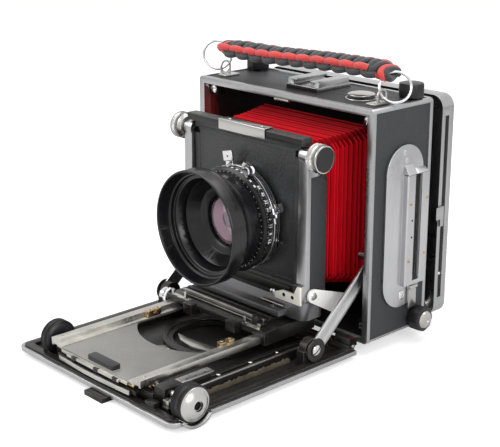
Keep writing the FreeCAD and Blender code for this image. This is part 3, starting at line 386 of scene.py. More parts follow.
def ranged(tree, value, low, high, to_low=0.0, to_high=1.0):
    return wired(tree, "ShaderNodeMapRange", {"Value": value, "From Min": low, "From Max": high,
                                              "To Min": to_low, "To Max": to_high}).outputs[0]


def stretched(tree, scale):
    place = wired(tree, "ShaderNodeTexCoord").outputs["Object"]
    return wired(tree, "ShaderNodeVectorMath", {0: place, 1: scale}, operation="MULTIPLY").outputs[0]


def noise(tree, vector, scale, detail=3.0, roughness=0.55):
    return wired(tree, "ShaderNodeTexNoise", {"Vector": vector, "Scale": scale, "Detail": detail,
                                              "Roughness": roughness}).outputs["Fac"]


def build_edge_rub():
    """Where paint has rubbed through: near edges, broken up by noise."""
    tree, given, out = new_group("edge_rub", [("Width", "NodeSocketFloat", 0.0006),
                                              ("Amount", "NodeSocketFloat", 0.5),
                                              ("Patch Scale", "NodeSocketFloat", 300.0)],
                                 [("Mask", "NodeSocketFloat")])
    eased = wired(tree, "ShaderNodeBevel", {"Radius": given.outputs["Width"]}, samples=4).outputs[0]
    true = wired(tree, "ShaderNodeNewGeometry").outputs["Normal"]
    same = wired(tree, "ShaderNodeVectorMath", {0: eased, 1: true}, operation="DOT_PRODUCT").outputs["Value"]
    edge = ranged(tree, same, 0.995, 0.86)
    patches = ranged(tree, noise(tree, stretched(tree, (1, 1, 1)), given.outputs["Patch Scale"], 4), 0.38,
                     0.66)
    mask = maths(tree, "MULTIPLY", maths(tree, "MULTIPLY", edge, patches), given.outputs["Amount"], True)
    tree.links.new(mask, out.inputs["Mask"])
    return tree


def build_mottle():
    """Slow unevenness of a finish: handling marks and smears."""
    tree, given, out = new_group("mottle", [("Scale", "NodeSocketFloat", 40.0)],
                                 [("Value", "NodeSocketFloat")])
    place = stretched(tree, (1, 1, 1))
    large = noise(tree, place, given.outputs["Scale"], 4, 0.6)
    fine = noise(tree, place, maths(tree, "MULTIPLY", given.outputs["Scale"], 9.0), 3, 0.6)
    value = maths(tree, "ADD", maths(tree, "MULTIPLY", large, 0.7), maths(tree, "MULTIPLY", fine, 0.3))
    tree.links.new(ranged(tree, value, 0.3, 0.7), out.inputs["Value"])
    return tree


def build_leather():
    """Fine pebbled grain of a bonded covering."""
    tree, given, out = new_group("leather_grain", [("Scale", "NodeSocketFloat", 1500.0)],
                                 [("Height", "NodeSocketFloat"), ("Shade", "NodeSocketFloat")])
    place = stretched(tree, (1, 1, 1))
    cells = wired(tree, "ShaderNodeTexVoronoi", {"Vector": place, "Scale": given.outputs["Scale"]},
                  feature="DISTANCE_TO_EDGE").outputs["Distance"]
    pebble = ranged(tree, cells, 0.0, 0.28)
    crease = noise(tree, place, maths(tree, "MULTIPLY", given.outputs["Scale"], 0.23), 4, 0.65)
    height = maths(tree, "ADD", maths(tree, "MULTIPLY", pebble, 0.6), maths(tree, "MULTIPLY", crease, 0.8))
    tree.links.new(height, out.inputs["Height"])
    tree.links.new(pebble, out.inputs["Shade"])
    return tree


def build_crinkle():
    """Baked crinkle paint: small sharp wrinkles."""
    tree, given, out = new_group("crinkle", [("Scale", "NodeSocketFloat", 1100.0)],
                                 [("Height", "NodeSocketFloat")])
    place = stretched(tree, (1, 1, 1))
    swirl = noise(tree, place, given.outputs["Scale"], 5, 0.7)
    cells = wired(tree, "ShaderNodeTexVoronoi", {"Vector": place,
                                                 "Scale": given.outputs["Scale"]}).outputs["Distance"]
    height = maths(tree, "ADD", maths(tree, "MULTIPLY", swirl, 0.9), maths(tree, "MULTIPLY", cells, 0.5))
    tree.links.new(height, out.inputs["Height"])
    return tree


def build_brushing():
    """Fine lines left by a grinding belt, along whichever axis is stretched."""
    tree, given, out = new_group("brushing", [("Stretch", "NodeSocketVector", (60.0, 2500.0, 2500.0))],
                                 [("Height", "NodeSocketFloat")])
    place = wired(tree, "ShaderNodeTexCoord").outputs["Object"]
    lines = wired(tree, "ShaderNodeVectorMath", {0: place, 1: given.outputs["Stretch"]},
                  operation="MULTIPLY").outputs[0]
    tree.links.new(noise(tree, lines, 1.0, 4, 0.7), out.inputs["Height"])
    return tree


def build_dust():
    """Dust that has settled on what faces up."""
    tree, given, out = new_group("settled_dust", [("Amount", "NodeSocketFloat", 0.3)],
                                 [("Mask", "NodeSocketFloat")])
    normal = wired(tree, "ShaderNodeNewGeometry").outputs["Normal"]
    up = ranged(tree, wired(tree, "ShaderNodeSeparateXYZ", {0: normal}).outputs["Z"], 0.5, 0.95)
    specks = ranged(tree, noise(tree, stretched(tree, (1, 1, 1)), 900.0, 5, 0.75), 0.42, 0.72)
    film = ranged(tree, noise(tree, stretched(tree, (1, 1, 1)), 60.0, 3, 0.6), 0.35, 0.7, 0.2, 1.0)
    mask = maths(tree, "MULTIPLY", maths(tree, "MULTIPLY", up, specks),
                 maths(tree, "MULTIPLY", film, given.outputs["Amount"]))
    tree.links.new(mask, out.inputs["Mask"])
    return tree


def build_cord_sheath():
    """Braided sheath, from the strand's own map: along it and round it."""
    tree, given, out = new_group("cord_sheath", [("Along", "NodeSocketFloat", 40.0),
                                                 ("Round", "NodeSocketFloat", 5.0)],
                                 [("Height", "NodeSocketFloat")])
    strand = wired(tree, "ShaderNodeSeparateXYZ", {0: wired(tree, "ShaderNodeTexCoord").outputs["UV"]})
    along = maths(tree, "MULTIPLY", strand.outputs["X"], given.outputs["Along"])
    around = maths(tree, "MULTIPLY", strand.outputs["Y"], given.outputs["Round"])
    one = maths(tree, "SINE", maths(tree, "MULTIPLY", maths(tree, "ADD", along, around), 6.2832))
    two = maths(tree, "SINE", maths(tree, "MULTIPLY", maths(tree, "SUBTRACT", along, around), 6.2832))
    height = maths(tree, "MULTIPLY", maths(tree, "ABSOLUTE", one), maths(tree, "ABSOLUTE", two))
    tree.links.new(height, out.inputs["Height"])
    return tree


GROUPS = {}


def grouped(tree, name, **inputs):
    node = tree.nodes.new("ShaderNodeGroup")
    node.node_tree = GROUPS[name]
    for key, value in inputs.items():
        node.inputs[key.replace("_", " ").title()].default_value = value
    return node


def tinted(tree, mask, low, high):
    """A colour between two, by a mask."""
    mix = wired(tree, "ShaderNodeMix", {"Factor": mask}, data_type="RGBA")
    for key, colour in ((6, low), (7, high)):
        if isinstance(colour, bpy.types.NodeSocket):
            tree.links.new(colour, mix.inputs[key])
        else:
            mix.inputs[key].default_value = (*colour, 1.0)
    return mix.outputs[2]


def finish(name, colour, rough, metallic=0.0, uneven=0.25, tone=0.12, relief=None, wear=None, dust=None,
           mottle_scale=35.0, specular=0.5, sheen=0.0):
    """A procedural finish: base tone, unevenness, surface relief, rubbed edges and dust.

    relief is (group, its inputs, strength, depth in mm); wear is (colour, amount, width in mm);
    dust is (colour, amount)."""
    material = bpy.data.materials.new(name)
    material.use_nodes = True
    tree = material.node_tree
    shader = tree.nodes["Principled BSDF"]
    smear = grouped(tree, "mottle", scale=mottle_scale).outputs[0]
    dark = tuple(c * (1 - tone) for c in colour)
    light = tuple(min(1.0, c * (1 + tone)) for c in colour)
    tint = tinted(tree, smear, dark, light)
    gloss = ranged(tree, smear, 0.0, 1.0, rough * (1 - uneven), min(1.0, rough * (1 + uneven)))
    metal = None
    if wear:
        rub = grouped(tree, "edge_rub", width=wear[2] * MM, amount=wear[1]).outputs[0]
        tint = tinted(tree, rub, tint, wear[0])
        gloss = maths(tree, "ADD", gloss, maths(tree, "MULTIPLY", rub, 0.32 - rough), True)
        metal = maths(tree, "ADD", maths(tree, "MULTIPLY", rub, 1 - metallic), metallic, True)
    if dust:
        film = grouped(tree, "settled_dust", amount=dust[1]).outputs[0]
        tint = tinted(tree, film, tint, dust[0])
        gloss = maths(tree, "ADD", gloss, maths(tree, "MULTIPLY", film, 0.5), True)
    tree.links.new(tint, shader.inputs["Base Color"])
    tree.links.new(gloss, shader.inputs["Roughness"])
    if metal is not None:
        tree.links.new(metal, shader.inputs["Metallic"])
    else:
        shader.inputs["Metallic"].default_value = metallic
    shader.inputs["Specular IOR Level"].default_value = specular
    shader.inputs["Sheen Weight"].default_value = sheen
    if relief:
        kind, inputs, strength, depth = relief
        height = grouped(tree, kind, **inputs).outputs["Height"]
        bump = wired(tree, "ShaderNodeBump", {"Height": height, "Strength": strength, "Distance": depth * MM})
        tree.links.new(bump.outputs[0], shader.inputs["Normal"])
    return material


def build_finishes(colours):
    """Every finish on the camera, from the panel's colours."""
    bare, paint = tuple(colours.bare_metal), tuple(colours.paint)
    rubbed = (0.42, 0.40, 0.37)
    grime = (0.16, 0.14, 0.115)
    made = {}
    made["leather"] = finish("grained_covering", tuple(colours.covering), 0.5, uneven=0.25, tone=0.45,
                             relief=("leather_grain", {"scale": 1000.0}, 0.9, 0.22), specular=0.35,
                             mottle_scale=800.0)
    made["silver"] = finish("satin_bare_metal", bare, 0.30, 1.0, uneven=0.22, tone=0.10,
                            relief=("crinkle", {"scale": 2000.0}, 0.06, 0.02), mottle_scale=25.0)
    made["brushed"] = finish("brushed_alloy", (0.52, 0.52, 0.53), 0.30, 1.0, uneven=0.15, tone=0.05,
                             relief=("brushing", {"stretch": (900.0, 900.0, 30.0)}, 0.04, 0.03))
    made["rail"] = finish("worn_rail_alloy", (0.50, 0.485, 0.45), 0.34, 1.0, uneven=0.35, tone=0.18,
                          relief=("brushing", {"stretch": (2500.0, 40.0, 2500.0)}, 0.2, 0.05),
                          dust=((0.2, 0.18, 0.15), 0.35), mottle_scale=55.0)
    made["plate"] = finish("bead_blasted_plate", (0.30, 0.295, 0.28), 0.45, 0.85, uneven=0.3, tone=0.14,
                           relief=("crinkle", {"scale": 2600.0}, 0.15, 0.03), dust=((0.2, 0.18, 0.15), 0.3))
    made["brushed_strut"] = finish("long_ground_strap", (0.52, 0.52, 0.52), 0.33, 1.0, uneven=0.25, tone=0.08,
                                   relief=("brushing", {"stretch": (2500.0, 90.0, 90.0)}, 0.1, 0.04))
    made["steel"] = finish("fine_ground_steel", (0.50, 0.49, 0.47), 0.24, 1.0, uneven=0.12, tone=0.05,
                           mottle_scale=14.0)
    made["chrome"] = finish("polished_chrome", (0.68, 0.68, 0.69), 0.14, 1.0, uneven=0.4, tone=0.04)
    made["black"] = finish("worn_black_paint", paint, 0.34, uneven=0.3, tone=0.3,
                           relief=("crinkle", {"scale": 1800.0}, 0.12, 0.03), wear=(rubbed, 0.8, 0.4),
                           dust=(grime, 0.28), specular=0.32)
    made["clean_black"] = finish("satin_black_paint", paint, 0.32, uneven=0.25, tone=0.2,
                                 relief=("crinkle", {"scale": 2200.0}, 0.06, 0.02), wear=(rubbed, 0.4, 0.3),
                                 specular=0.35)
    made["inside"] = finish("flat_black_inside", (0.010, 0.009, 0.009), 0.88, uneven=0.1, tone=0.2,
                            specular=0.06, relief=("crinkle", {"scale": 1400.0}, 0.2, 0.05))
    # The board's strong fine tone speckle is partly painted glints: light flecks stand in for highlights on
    # the crinkle, on top of its random tone.
    made["board"] = finish("crinkle_board_paint_and_painted_glints", tuple(colours.board), 0.38, uneven=0.3, tone=0.7,
                           relief=("crinkle", {"scale": 800.0}, 0.9, 0.22), wear=(rubbed, 0.3, 0.3),
                           specular=0.4, mottle_scale=900.0)
    made["lens"] = finish("lens_barrel_anodising", (0.007, 0.007, 0.008), 0.24, uneven=0.2, tone=0.2,
                          relief=("brushing", {"stretch": (900.0, 900.0, 900.0)}, 0.04, 0.02), specular=0.35)
    made["hood"] = finish("hood_anodising", (0.006, 0.006, 0.007), 0.24, uneven=0.12, tone=0.15, specular=0.5)
    made["brass"] = finish("aged_brass", tuple(colours.brass), 0.3, 1.0, uneven=0.4, tone=0.25,
                           relief=("crinkle", {"scale": 1500.0}, 0.2, 0.03))
    made["cloth"] = finish("coated_bellows_cloth", tuple(colours.bellows), 0.5, uneven=0.15, tone=0.1,
                           relief=("leather_grain", {"scale": 2600.0}, 0.18, 0.03), specular=0.18)
    # The fold cloth is painted shade: half the bellows colour and less glossy, on faces down in the folds.
    made["fold"] = finish("bellows_cloth_painted_fold_shade", tuple(c * 0.5 for c in colours.bellows), 0.6,
                          uneven=0.15, tone=0.1, relief=("leather_grain", {"scale": 2600.0}, 0.18, 0.03),
                          specular=0.08)
    made["ivory"] = finish("ivory_enamel", (0.86, 0.84, 0.75), 0.35, uneven=0.25, tone=0.08,
                           relief=("crinkle", {"scale": 900.0}, 0.08, 0.03),
                           wear=((0.45, 0.42, 0.33), 0.6, 0.3))
    made["white"] = finish("white_enamel", (0.93, 0.93, 0.92), 0.3, uneven=0.2, tone=0.04,
                           wear=((0.55, 0.55, 0.53), 0.5, 0.25))
    made["white_fill"] = finish("white_paint_fill", (0.80, 0.80, 0.78), 0.5, tone=0.06)
    made["red_fill"] = finish("red_paint_fill", (0.62, 0.03, 0.03), 0.45, tone=0.1)
    made["green_fill"] = finish("green_paint_fill", (0.05, 0.42, 0.12), 0.45, tone=0.1)
    made["rubber"] = finish("moulded_black_knob", (0.010, 0.010, 0.011), 0.36, uneven=0.2, tone=0.2,
                            relief=("crinkle", {"scale": 1900.0}, 0.2, 0.04), dust=(grime, 0.12),
                            specular=0.4)
    # This pale grey-pink metal is painted light: on the inner element it stands in for the lighter interior
    # seen through the lens, with the coating's tint.
    made["blades"] = finish("inner_glass_tint_and_painted_light", (0.36, 0.33, 0.345), 0.3, 0.9, uneven=0.05, tone=0.03,
                            mottle_scale=8.0)
    made["grey"] = finish("grey_satin_casting", (0.20, 0.20, 0.205), 0.34, 0.8, uneven=0.3, tone=0.15,
                          relief=("crinkle", {"scale": 1500.0}, 0.1, 0.03), dust=(grime, 0.2))
    made["worn"] = finish("worn_felt_strip", (0.085, 0.068, 0.045), 0.85, uneven=0.15, tone=0.75,
                          mottle_scale=90.0, relief=("crinkle", {"scale": 500.0}, 0.8, 0.4))
    for key, colour in (("cord_black", tuple(colours.strap_dark)), ("cord_red", tuple(colours.strap_light))):
        made[key] = finish("braided_" + key, colour, 0.62, uneven=0.15, tone=0.18,
                           relief=("cord_sheath", {"along": 9.0, "round": 5.0}, 0.6, 0.25), sheen=0.25)
    made["glass"] = clear_glass("coated_front_glass", (0.98, 0.93, 0.955), 0.0)
    made["ground"] = clear_glass("ground_focusing_glass", (0.86, 0.88, 0.87), 0.55)
    return made


def clear_glass(name, tint, rough):
    """Glass with its lens coating's tint; a slow unevenness in its surface stands for wiping marks."""
    material = bpy.data.materials.new(name)
    material.use_nodes = True
    tree = material.node_tree
    shader = tree.nodes["Principled BSDF"]
    smear = grouped(tree, "mottle", scale=18.0).outputs[0]
    tree.links.new(tinted(tree, smear, tint, tuple(min(1.0, c * 1.03) for c in tint)),
                   shader.inputs["Base Color"])
    tree.links.new(ranged(tree, smear, 0.0, 1.0, rough, rough + 0.01), shader.inputs["Roughness"])
    shader.inputs["Transmission Weight"].default_value = 1.0
    shader.inputs["IOR"].default_value = 1.6
    shader.inputs["Coat Weight"].default_value = 0.6
    shader.inputs["Coat Tint"].default_value = (0.98, 0.88, 0.93, 1.0)
    return material


FINISH = {}


# ---------------------------------------------------------------- settings
def colour_property(name, description, default):
    return bpy.props.FloatVectorProperty(name=name, description=description, default=default, size=3,
                                         min=0.0, max=1.0, subtype="COLOR")


def length_property(name, description, default):
    return bpy.props.FloatProperty(name=name, description=description, default=default, min=0.0,
                                   subtype="DISTANCE", unit="LENGTH", precision=5)


class FieldCameraColours(bpy.types.PropertyGroup):
    covering: colour_property("Covering", "Grained covering of the casing", (0.036, 0.037, 0.040))
    bare_metal: colour_property("Bare metal", "Satin alloy of rims, arms and back", (0.42, 0.42, 0.425))
    paint: colour_property("Paint", "Black paint of bed and carriage", (0.011, 0.010, 0.009))
    board: colour_property("Lens board", "Crinkle paint of the lens board", (0.034, 0.0345, 0.036))
    bellows: colour_property("Bellows", "Coated cloth of the bellows", (0.70, 0.004, 0.014))
    brass: colour_property("Brass", "Infinity stops and bearings", (0.50, 0.38, 0.22))
    strap_dark: colour_property("Strap centre", "Cord that crosses the strap", (0.022, 0.024, 0.027))
    strap_light: colour_property("Strap edges", "Cord that loops along the strap's edges",
                                 (0.62, 0.05, 0.045))


class FieldCameraSizes(bpy.types.PropertyGroup):
    pleat_depth: length_property("Pleat depth", "How far a bellows fold reaches in", 0.0066)
    cord_radius: length_property("Cord radius", "Half the thickness of a strap cord", 0.0025)
    knots: bpy.props.IntProperty(name="Knots", description="Red lobes along each edge of the strap",
                                 default=11, min=6, max=16)
    rim_ribs: bpy.props.IntProperty(name="Rim ribs", description="Ribs round a focusing knob", default=46,
                                    min=24, max=90)


class FieldCameraStage(bpy.types.PropertyGroup):
    key_power: bpy.props.FloatProperty(name="Key lamp", description="Power of the large lamp on the left",
                                       default=9.0, min=0.0, unit="POWER")
    fill_power: bpy.props.FloatProperty(name="Fill lamp", description="Power of the lamp on the right",
                                        default=8.0, min=0.0, unit="POWER")
    top_power: bpy.props.FloatProperty(name="Top lamp", description="Power of the lamp overhead",
                                       default=7.0, min=0.0, unit="POWER")
    sky: bpy.props.FloatProperty(name="Surround", description="Strength of the light from all round",
                                 default=0.55, min=0.0)
    focal_length: bpy.props.FloatProperty(name="Focal length",
                                          description="Focal length of the view camera's lens",
                                          default=85.56, min=10.0, unit="CAMERA")


def settings(context):
    scene = context.scene
    return scene.field_camera_sizes, scene.field_camera_colours, scene.field_camera_stage


class FieldCameraOperator:
    bl_options = {"REGISTER", "UNDO"}

    def execute(self, context):
        if not GROUPS:
            GROUPS.update(edge_rub=build_edge_rub(), mottle=build_mottle(), leather_grain=build_leather(),
                          crinkle=build_crinkle(), brushing=build_brushing(), settled_dust=build_dust(),
                          cord_sheath=build_cord_sheath())
            FINISH.update(build_finishes(settings(context)[1]))
        self.build(context)
        return {"FINISHED"}


# ---------------------------------------------------------------- casing
def pan_screw(name, radius, height=1.5):
    """A slotted pan head standing on the plane z = 0, its slot along X."""
    screw = spun(name, "Z", (0, 0, 0), [(0, 0), (0, radius), (height * 0.45, radius),
                                        (height * 0.85, radius * 0.8), (height, radius * 0.45),
                                        (height, 0)], 28)
    slot = block(name + "_slot", (-radius * 1.2, -radius * 0.13, height * 0.45),
                 (radius * 1.2, radius * 0.13, height * 2), 0)
    return carve(screw, slot)


def facing(direction, roll=0.0):
    """Turns a piece that stands on z = 0 so that its top faces a direction, after a roll in degrees."""
    turn = Vector(direction).to_track_quat("Z", "Y").to_matrix().to_4x4()
    return turn @ Matrix.Rotation(math.radians(roll), 4, "Z")


def screws_at(name, radius, spots, direction, material, height=1.5, roll=0.0):
    """Copies of one screw at each spot, each turned a little further, joined as one piece."""
    first = coat(pan_screw(name, radius, height), material)
    turned = [copied(first, f"{name}_{i}", Matrix.Translation(spot) @ facing(direction, roll + 47 * i))
              for i, spot in enumerate(spots)]
    bpy.data.objects.remove(first)
    return joined(name, turned)


class OBJECT_OT_field_camera_casing(FieldCameraOperator, bpy.types.Operator):
    """Finish the casing, its foot, its screws and the fittings inside its mouth"""
    bl_idname = "object.field_camera_casing"
    bl_label = "Casing"

    def build(self, context):
        low, high = corners("body_shell")
        shell = refined("body_shell", 0.35, "camera_body", "grained_black",
                        FINISH["silver"], FINISH["leather"], FINISH["inside"])
        inner_x, floor_z, top_z = high.x - 5.4, low.z + 8.4, high.z - 5.4
        front = -30

        def inside(centre, normal):
            deep = abs(centre.x) < inner_x and floor_z < centre.z < top_z and centre.y > front + 0.4
            return deep or centre.z < 8.9 or (centre.y > 30.5 and abs(centre.x) < 80)

        pick(shell, 2, inside)
        pick(shell, 1, lambda c, n: abs(n.x) > 0.9 and abs(abs(c.x) - 85.2) < 0.1)
        pick(shell, 1, lambda c, n: n.z > 0.9 and abs(c.z - 172.2) < 0.1)
        refined("base_plate", 0.2, "camera_body", "bright_steel", FINISH["steel"])

        pieces = [coat(bar("hinge_pin", "X", 1.5, (-76.8, 76.8), (-33.5, 6), 0.2, 24), FINISH["steel"])]
        for x in (76.5, -76.5):
            for z in (18.5, 163.5):
                pieces.append(coat(bar("screw_seat", "Y", 3.2, (-24.6, -23.9), (x, z), 0.1, 32),
                                   FINISH["chrome"]))
        spots = [(x, -24.5, z) for x in (76.5, -76.5) for z in (18.5, 163.5)]
        pieces.append(screws_at("corner_screws", 2.9, spots, (0, -1, 0), FINISH["chrome"], 1.0, 30))
        pin = spun("strut_pin", "X", (0, -21, 61.5),
                   [(74.6, 0), (74.6, 3.6), (75.2, 4.4), (76.4, 4.4), (76.4, 2), (81.5, 2), (81.5, 0)], 32)
        stud = spun("stop_stud", "X", (0, -26.5, 72.3),
                    [(75.1, 0), (75.1, 2.6), (75.8, 3.4), (81.2, 3.4), (81.2, 0)], 32)
        pieces += with_left_copies([coat(piece, FINISH["chrome"]) for piece in (pin, stud)])
        pieces.append(coat(block("latch_tongue", (-7, -29.5, 166.1), (7, -23, 168), 0.3), FINISH["steel"]))
        on(joined("casing_fittings", pieces), "camera_body", "chrome", "body_fittings")


# ---------------------------------------------------------------- grip plate and side fittings
class OBJECT_OT_field_camera_side(FieldCameraOperator, bpy.types.Operator):
    """Finish the grip plate, its tab, the shoe, the button and the locking knobs"""
    bl_idname = "object.field_camera_side"
    bl_label = "Side and top fittings"

    def build(self, context):
        low, high = corners("grip_plate")
        face = low.x + 2
        refined("grip_plate", 0.6, "camera_body", "satin_silver", FINISH["brushed"], segments=3)
        ramp = plate("channel_ramp", "XZ", [(face - 0.3, 124.2), (face + 4.4, 124.2), (face - 0.3, 131)],
                     (2, 11), 0.4)
        ramp_two = plate("channel_ramp_rear", "XZ", [(face - 0.3, 124.2), (face + 4.4, 124.2),
                                                     (face - 0.3, 127.5)], (11.2, 23.5), 0.4)
        for piece in (ramp, ramp_two):
            coat(piece, FINISH["brushed"])
        dots = [coat(spun("plate_dimple", "X", (0, y, z), [(face - 0.3, 0), (face - 0.3, 2.5),
                                                           (face + 0.15, 2.2), (face + 0.6, 1.2),
                                                           (face + 0.7, 0)], 28), FINISH["brushed"]) for y,
                z in ((2.2, 139.2), (4.6, 133.6))]
        flanges = screws_at("channel_screws", 1.15, [(high.x - 0.1, y, z) for y, z in
                                                     ((4.6, 104), (21.4, 106), (4.6, 63), (21.4, 66))],
                            (1, 0, 0), FINISH["brass"], 0.7, 10)
        # Flat black discs in the channel's holes: painted shade inside the holes.
        bore_shades = [coat(spun("channel_bore_painted_shade", "X", (0, 6.6, z), [(high.x - 0.05, 0), (high.x - 0.05, 0.8),
                                                              (high.x + 0.03, 0.8), (high.x + 0.03, 0)],
                           20), FINISH["inside"]) for z in (92, 80)]
        foot = screws_at("plate_foot_screw", 3.4, [(face - 0.05, 3.5, 37.5)], (1, 0, 0), FINISH["chrome"],
                         1.1, 55)
        groove = coat(block("channel_shadow", (face + 0.52, 7, 50), (face + 0.62, 18, 123), 0),
                      FINISH["steel"])
        on(joined("grip_plate_details", [ramp, ramp_two, *dots, flanges, *bore_shades, foot, groove]),
           "camera_body", "satin_silver")
        refined("grip_release_lever", 0.35, "grip_lever", "bright_steel", FINISH["steel"])

        low, high = corners("accessory_shoe")
        shoe = refined("accessory_shoe", 0.3, "camera_body", "satin_silver", FINISH["silver"],
                       FINISH["clean_black"])
        pick(shoe, 1, lambda c, n: c.z < low.z + 2.6)
        heads = screws_at("shoe_screws", 1.6, [(3, y, low.z + 3.0) for y in (-5, 15)], (0, 0, 1),
                          FINISH["chrome"], 0.5, 20)
        on(heads, "camera_body", "chrome")

        low, high = corners("bed_release_button")
        centre = ((low.x + high.x) / 2, (low.y + high.y) / 2)
        refined("bed_release_button", 0.3, "bed_button", "chrome", FINISH["steel"], segments=3)
        ring = spun("button_bezel", "Z", (*centre, 0), [(172.05, 10.0), (172.05, 11.2), (172.5, 11.0),
                                                        (172.6, 10.7), (172.6, 10.3), (172.5, 10.0)], 64)
        on(coat(ring, FINISH["silver"]), "camera_body", "satin_silver")

        for node, body in (("lock_knob_top_right", "lock_top_right"),
                           ("lock_knob_top_left", "lock_top_left")):
            low, high = corners(node)
            refined(node, 0.9, body, "black_metal", FINISH["rubber"], segments=3)
            x, y = (low.x + high.x) / 2, (low.y + high.y) / 2
            cap = spun(node + "_cap", "Z", (x, y, 0), [(high.z - 0.3, 0), (high.z - 0.3, 4.4),
                                                       (high.z - 0.02, 4.4), (high.z - 0.02, 3.8),
                                                       (high.z - 0.2, 3.5), (high.z - 0.2, 0)], 40)
            on(coat(cap, FINISH["steel"]), body, "black_metal")
        for node, body in (("lock_knob_low_right", "lock_low_right"),
                           ("lock_knob_low_left", "lock_low_left")):
            low, high = corners(node)
            y, z = (low.y + high.y) / 2, (low.z + high.z) / 2
            seat = 86.3
            grip = bar(node + "_grip", "X", 9.3, (seat, seat + 9.6), (y, z), 1.2, 8)
            neck = spun(node + "_neck", "X", (0, y, z), [(78.8, 0), (78.8, 1.9), (seat + 0.6, 1.9),
                                                         (seat + 0.6, 0)], 24)
            coat(grip, FINISH["rubber"])
            coat(neck, FINISH["steel"])
            cap = spun(node + "_cap", "X", (0, y, z), [(seat + 9.0, 0), (seat + 9.0, 6.2),
                                                       (seat + 9.9, 6.3), (seat + 11.0, 5.6),
                                                       (seat + 11.5, 4.2), (seat + 11.5, 2.0),
                                                       (seat + 11.2, 1.6), (seat + 11.2, 0)], 56)
            coat(cap, FINISH["steel"])
            knob = joined(node + "_finished", [grip, neck, cap])
            if node.endswith("left"):
                knob = sent_left(knob, node + "_finished_left")
            on(knob, body, "black_metal", node)


# ---------------------------------------------------------------- back
class OBJECT_OT_field_camera_back(FieldCameraOperator, bpy.types.Operator):
    """Finish the sliding back, the turning back, the focusing glass and its folding cover"""
    bl_idname = "object.field_camera_back"
    bl_label = "Back"

    def build(self, context):
        seat = 42.5
        shell = refined("back_frame", 0.7, "back", "satin_silver", FINISH["silver"], FINISH["inside"],
                        segments=3)

        def inside_the_frame(centre, normal):
            reach = max(abs(centre.x), abs(centre.z - BACK_MIDDLE_Z))
            return centre.y < seat - 0.2 or reach < 66 or (abs(normal.y) < 0.5 and reach < 77)

        pick(shell, 1, inside_the_frame)
        strip = block("slot_filler", (82.6, seat + 3.6, 24.3), (84.9, seat + 7.4, 157.7), 0.3)
        coat(strip, FINISH["clean_black"])
        # A thin flat black strip along the middle of the filler: painted shade of the slot.
        slot_shade = block("slot_painted_shade", (82.7, seat + 5.2, 26), (85.05, seat + 5.7, 156), 0.1)
        coat(slot_shade, FINISH["inside"])
        rivet = spun("strip_rivet", "X", (0, seat + 5.4, 42), [(84.8, 0), (84.8, 1.3), (85.3, 0.9),
                                                               (85.35, 0)], 20)
        coat(rivet, FINISH["chrome"])
        latch = block("back_latch", (85.35, 43.2, 78.5), (87.3, 47.2, 93.5), 0.5)
        nose = block("back_latch_nose", (86.25, 38.6, 84), (87.3, 43.6, 93.2), 0.4)
        for piece in (latch, nose):
            coat(piece, FINISH["silver"])
        trim = with_left_copies([strip, slot_shade, rivet, latch, nose])
        on(joined("back_trim", trim), "back", "satin_silver")
        refined("back_rods", 0.15, "back", "bright_steel", FINISH["steel"])
        low, high = corners("revolving_back")
        turning = refined("revolving_back", 0.5, "turning_back", "black_metal", FINISH["clean_black"],
                          FINISH["silver"])

        def outer_edge(centre, normal):
            reach = max(abs(centre.x), abs(centre.z - BACK_MIDDLE_Z))
            return abs(normal.y) < 0.4 and centre.y > 55.6 and reach > 70

        pick(turning, 1, outer_edge)
        spots = [(x, high.y - 4.05, z) for x in (-70.5, 70.5) for z in (48, 134)]
        screws = screws_at("turning_back_screws", 2.4, spots, (0, 1, 0), FINISH["chrome"], 0.8)
        springs = []
        for z in (60, 122):
            leaf = plate("glass_leaf_spring", "XZ", [(66.7, z - 12), (69.8, z - 14), (69.8, z + 14),
                                                     (66.7, z + 12)], (high.y - 0.05, high.y + 0.75), 0.2)
            springs.append(coat(leaf, FINISH["steel"]))
        on(joined("turning_back_details", [screws, *with_left_copies(springs)]), "turning_back", "chrome")
        refined("glass_frame", 0.4, "glass_carrier", "black_metal", FINISH["clean_black"])
        refined("ground_glass", 0.15, "glass_carrier", "ground", FINISH["ground"])
        low, high = corners("ground_glass")
        lines = [block("grid_line", (x - 0.1, high.y + 0.01, low.z + 4),
                       (x + 0.1, high.y + 0.04, high.z - 4), 0) for x in (-45, -30, -15, 0, 15, 30, 45)]
        lines += [block("grid_line", (low.x + 4, high.y + 0.01, BACK_MIDDLE_Z + z - 0.1),
                        (high.x - 4, high.y + 0.04, BACK_MIDDLE_Z + z + 0.1), 0)
                  for z in (-30, -15, 0, 15, 30)]
        on(coat(joined("focusing_grid", lines), FINISH["inside"]), "glass_carrier", "ground")

        low, high = corners("focusing_hood_cover")
        cover = refined("focusing_hood_cover", 0.8, "hood_cover", "black_metal", FINISH["clean_black"],
                        FINISH["leather"], segments=3)
        outer = max((face for face in cover.data.polygons if face.normal.y > 0.9),
                    key=lambda face: face.area).index
        edit_all(cover)
        bpy.ops.mesh.select_all(action="DESELECT")
        done_editing()
        cover.data.polygons[outer].select = True
        only(cover)
        bpy.ops.object.mode_set(mode="EDIT")
        bpy.ops.mesh.select_mode(type="FACE")
        bpy.ops.mesh.inset(thickness=4.5 * MM, depth=-0.7 * MM)
        bpy.ops.mesh.select_mode(type="VERT")
        done_editing()
        pick(cover, 1, lambda c, n: n.y > 0.9 and abs(c.y - high.y + 0.7) < 0.1)
        catch = block("cover_catch", (-9, high.y - 1.0, low.z + 7), (9, high.y - 0.1, low.z + 11), 0.4)
        coat(catch, FINISH["steel"])
        fold = [coat(block("cover_fold", (low.x + 12, high.y - 1.0, z - 0.5),
                           (high.x - 12, high.y - 0.45, z + 0.5), 0.2),
                     FINISH["silver"]) for z in (low.z + 16, high.z - 16)]
        caps = [coat(bar("hinge_end", "X", 2.0, span, (low.y + 2, high.z - 2.0), 0.4, 24), FINISH["steel"])
                for span in ((-40.5, -36), (36, 40.5))]
        on(joined("cover_details", [*fold, catch, *caps]), "hood_cover", "black_metal")


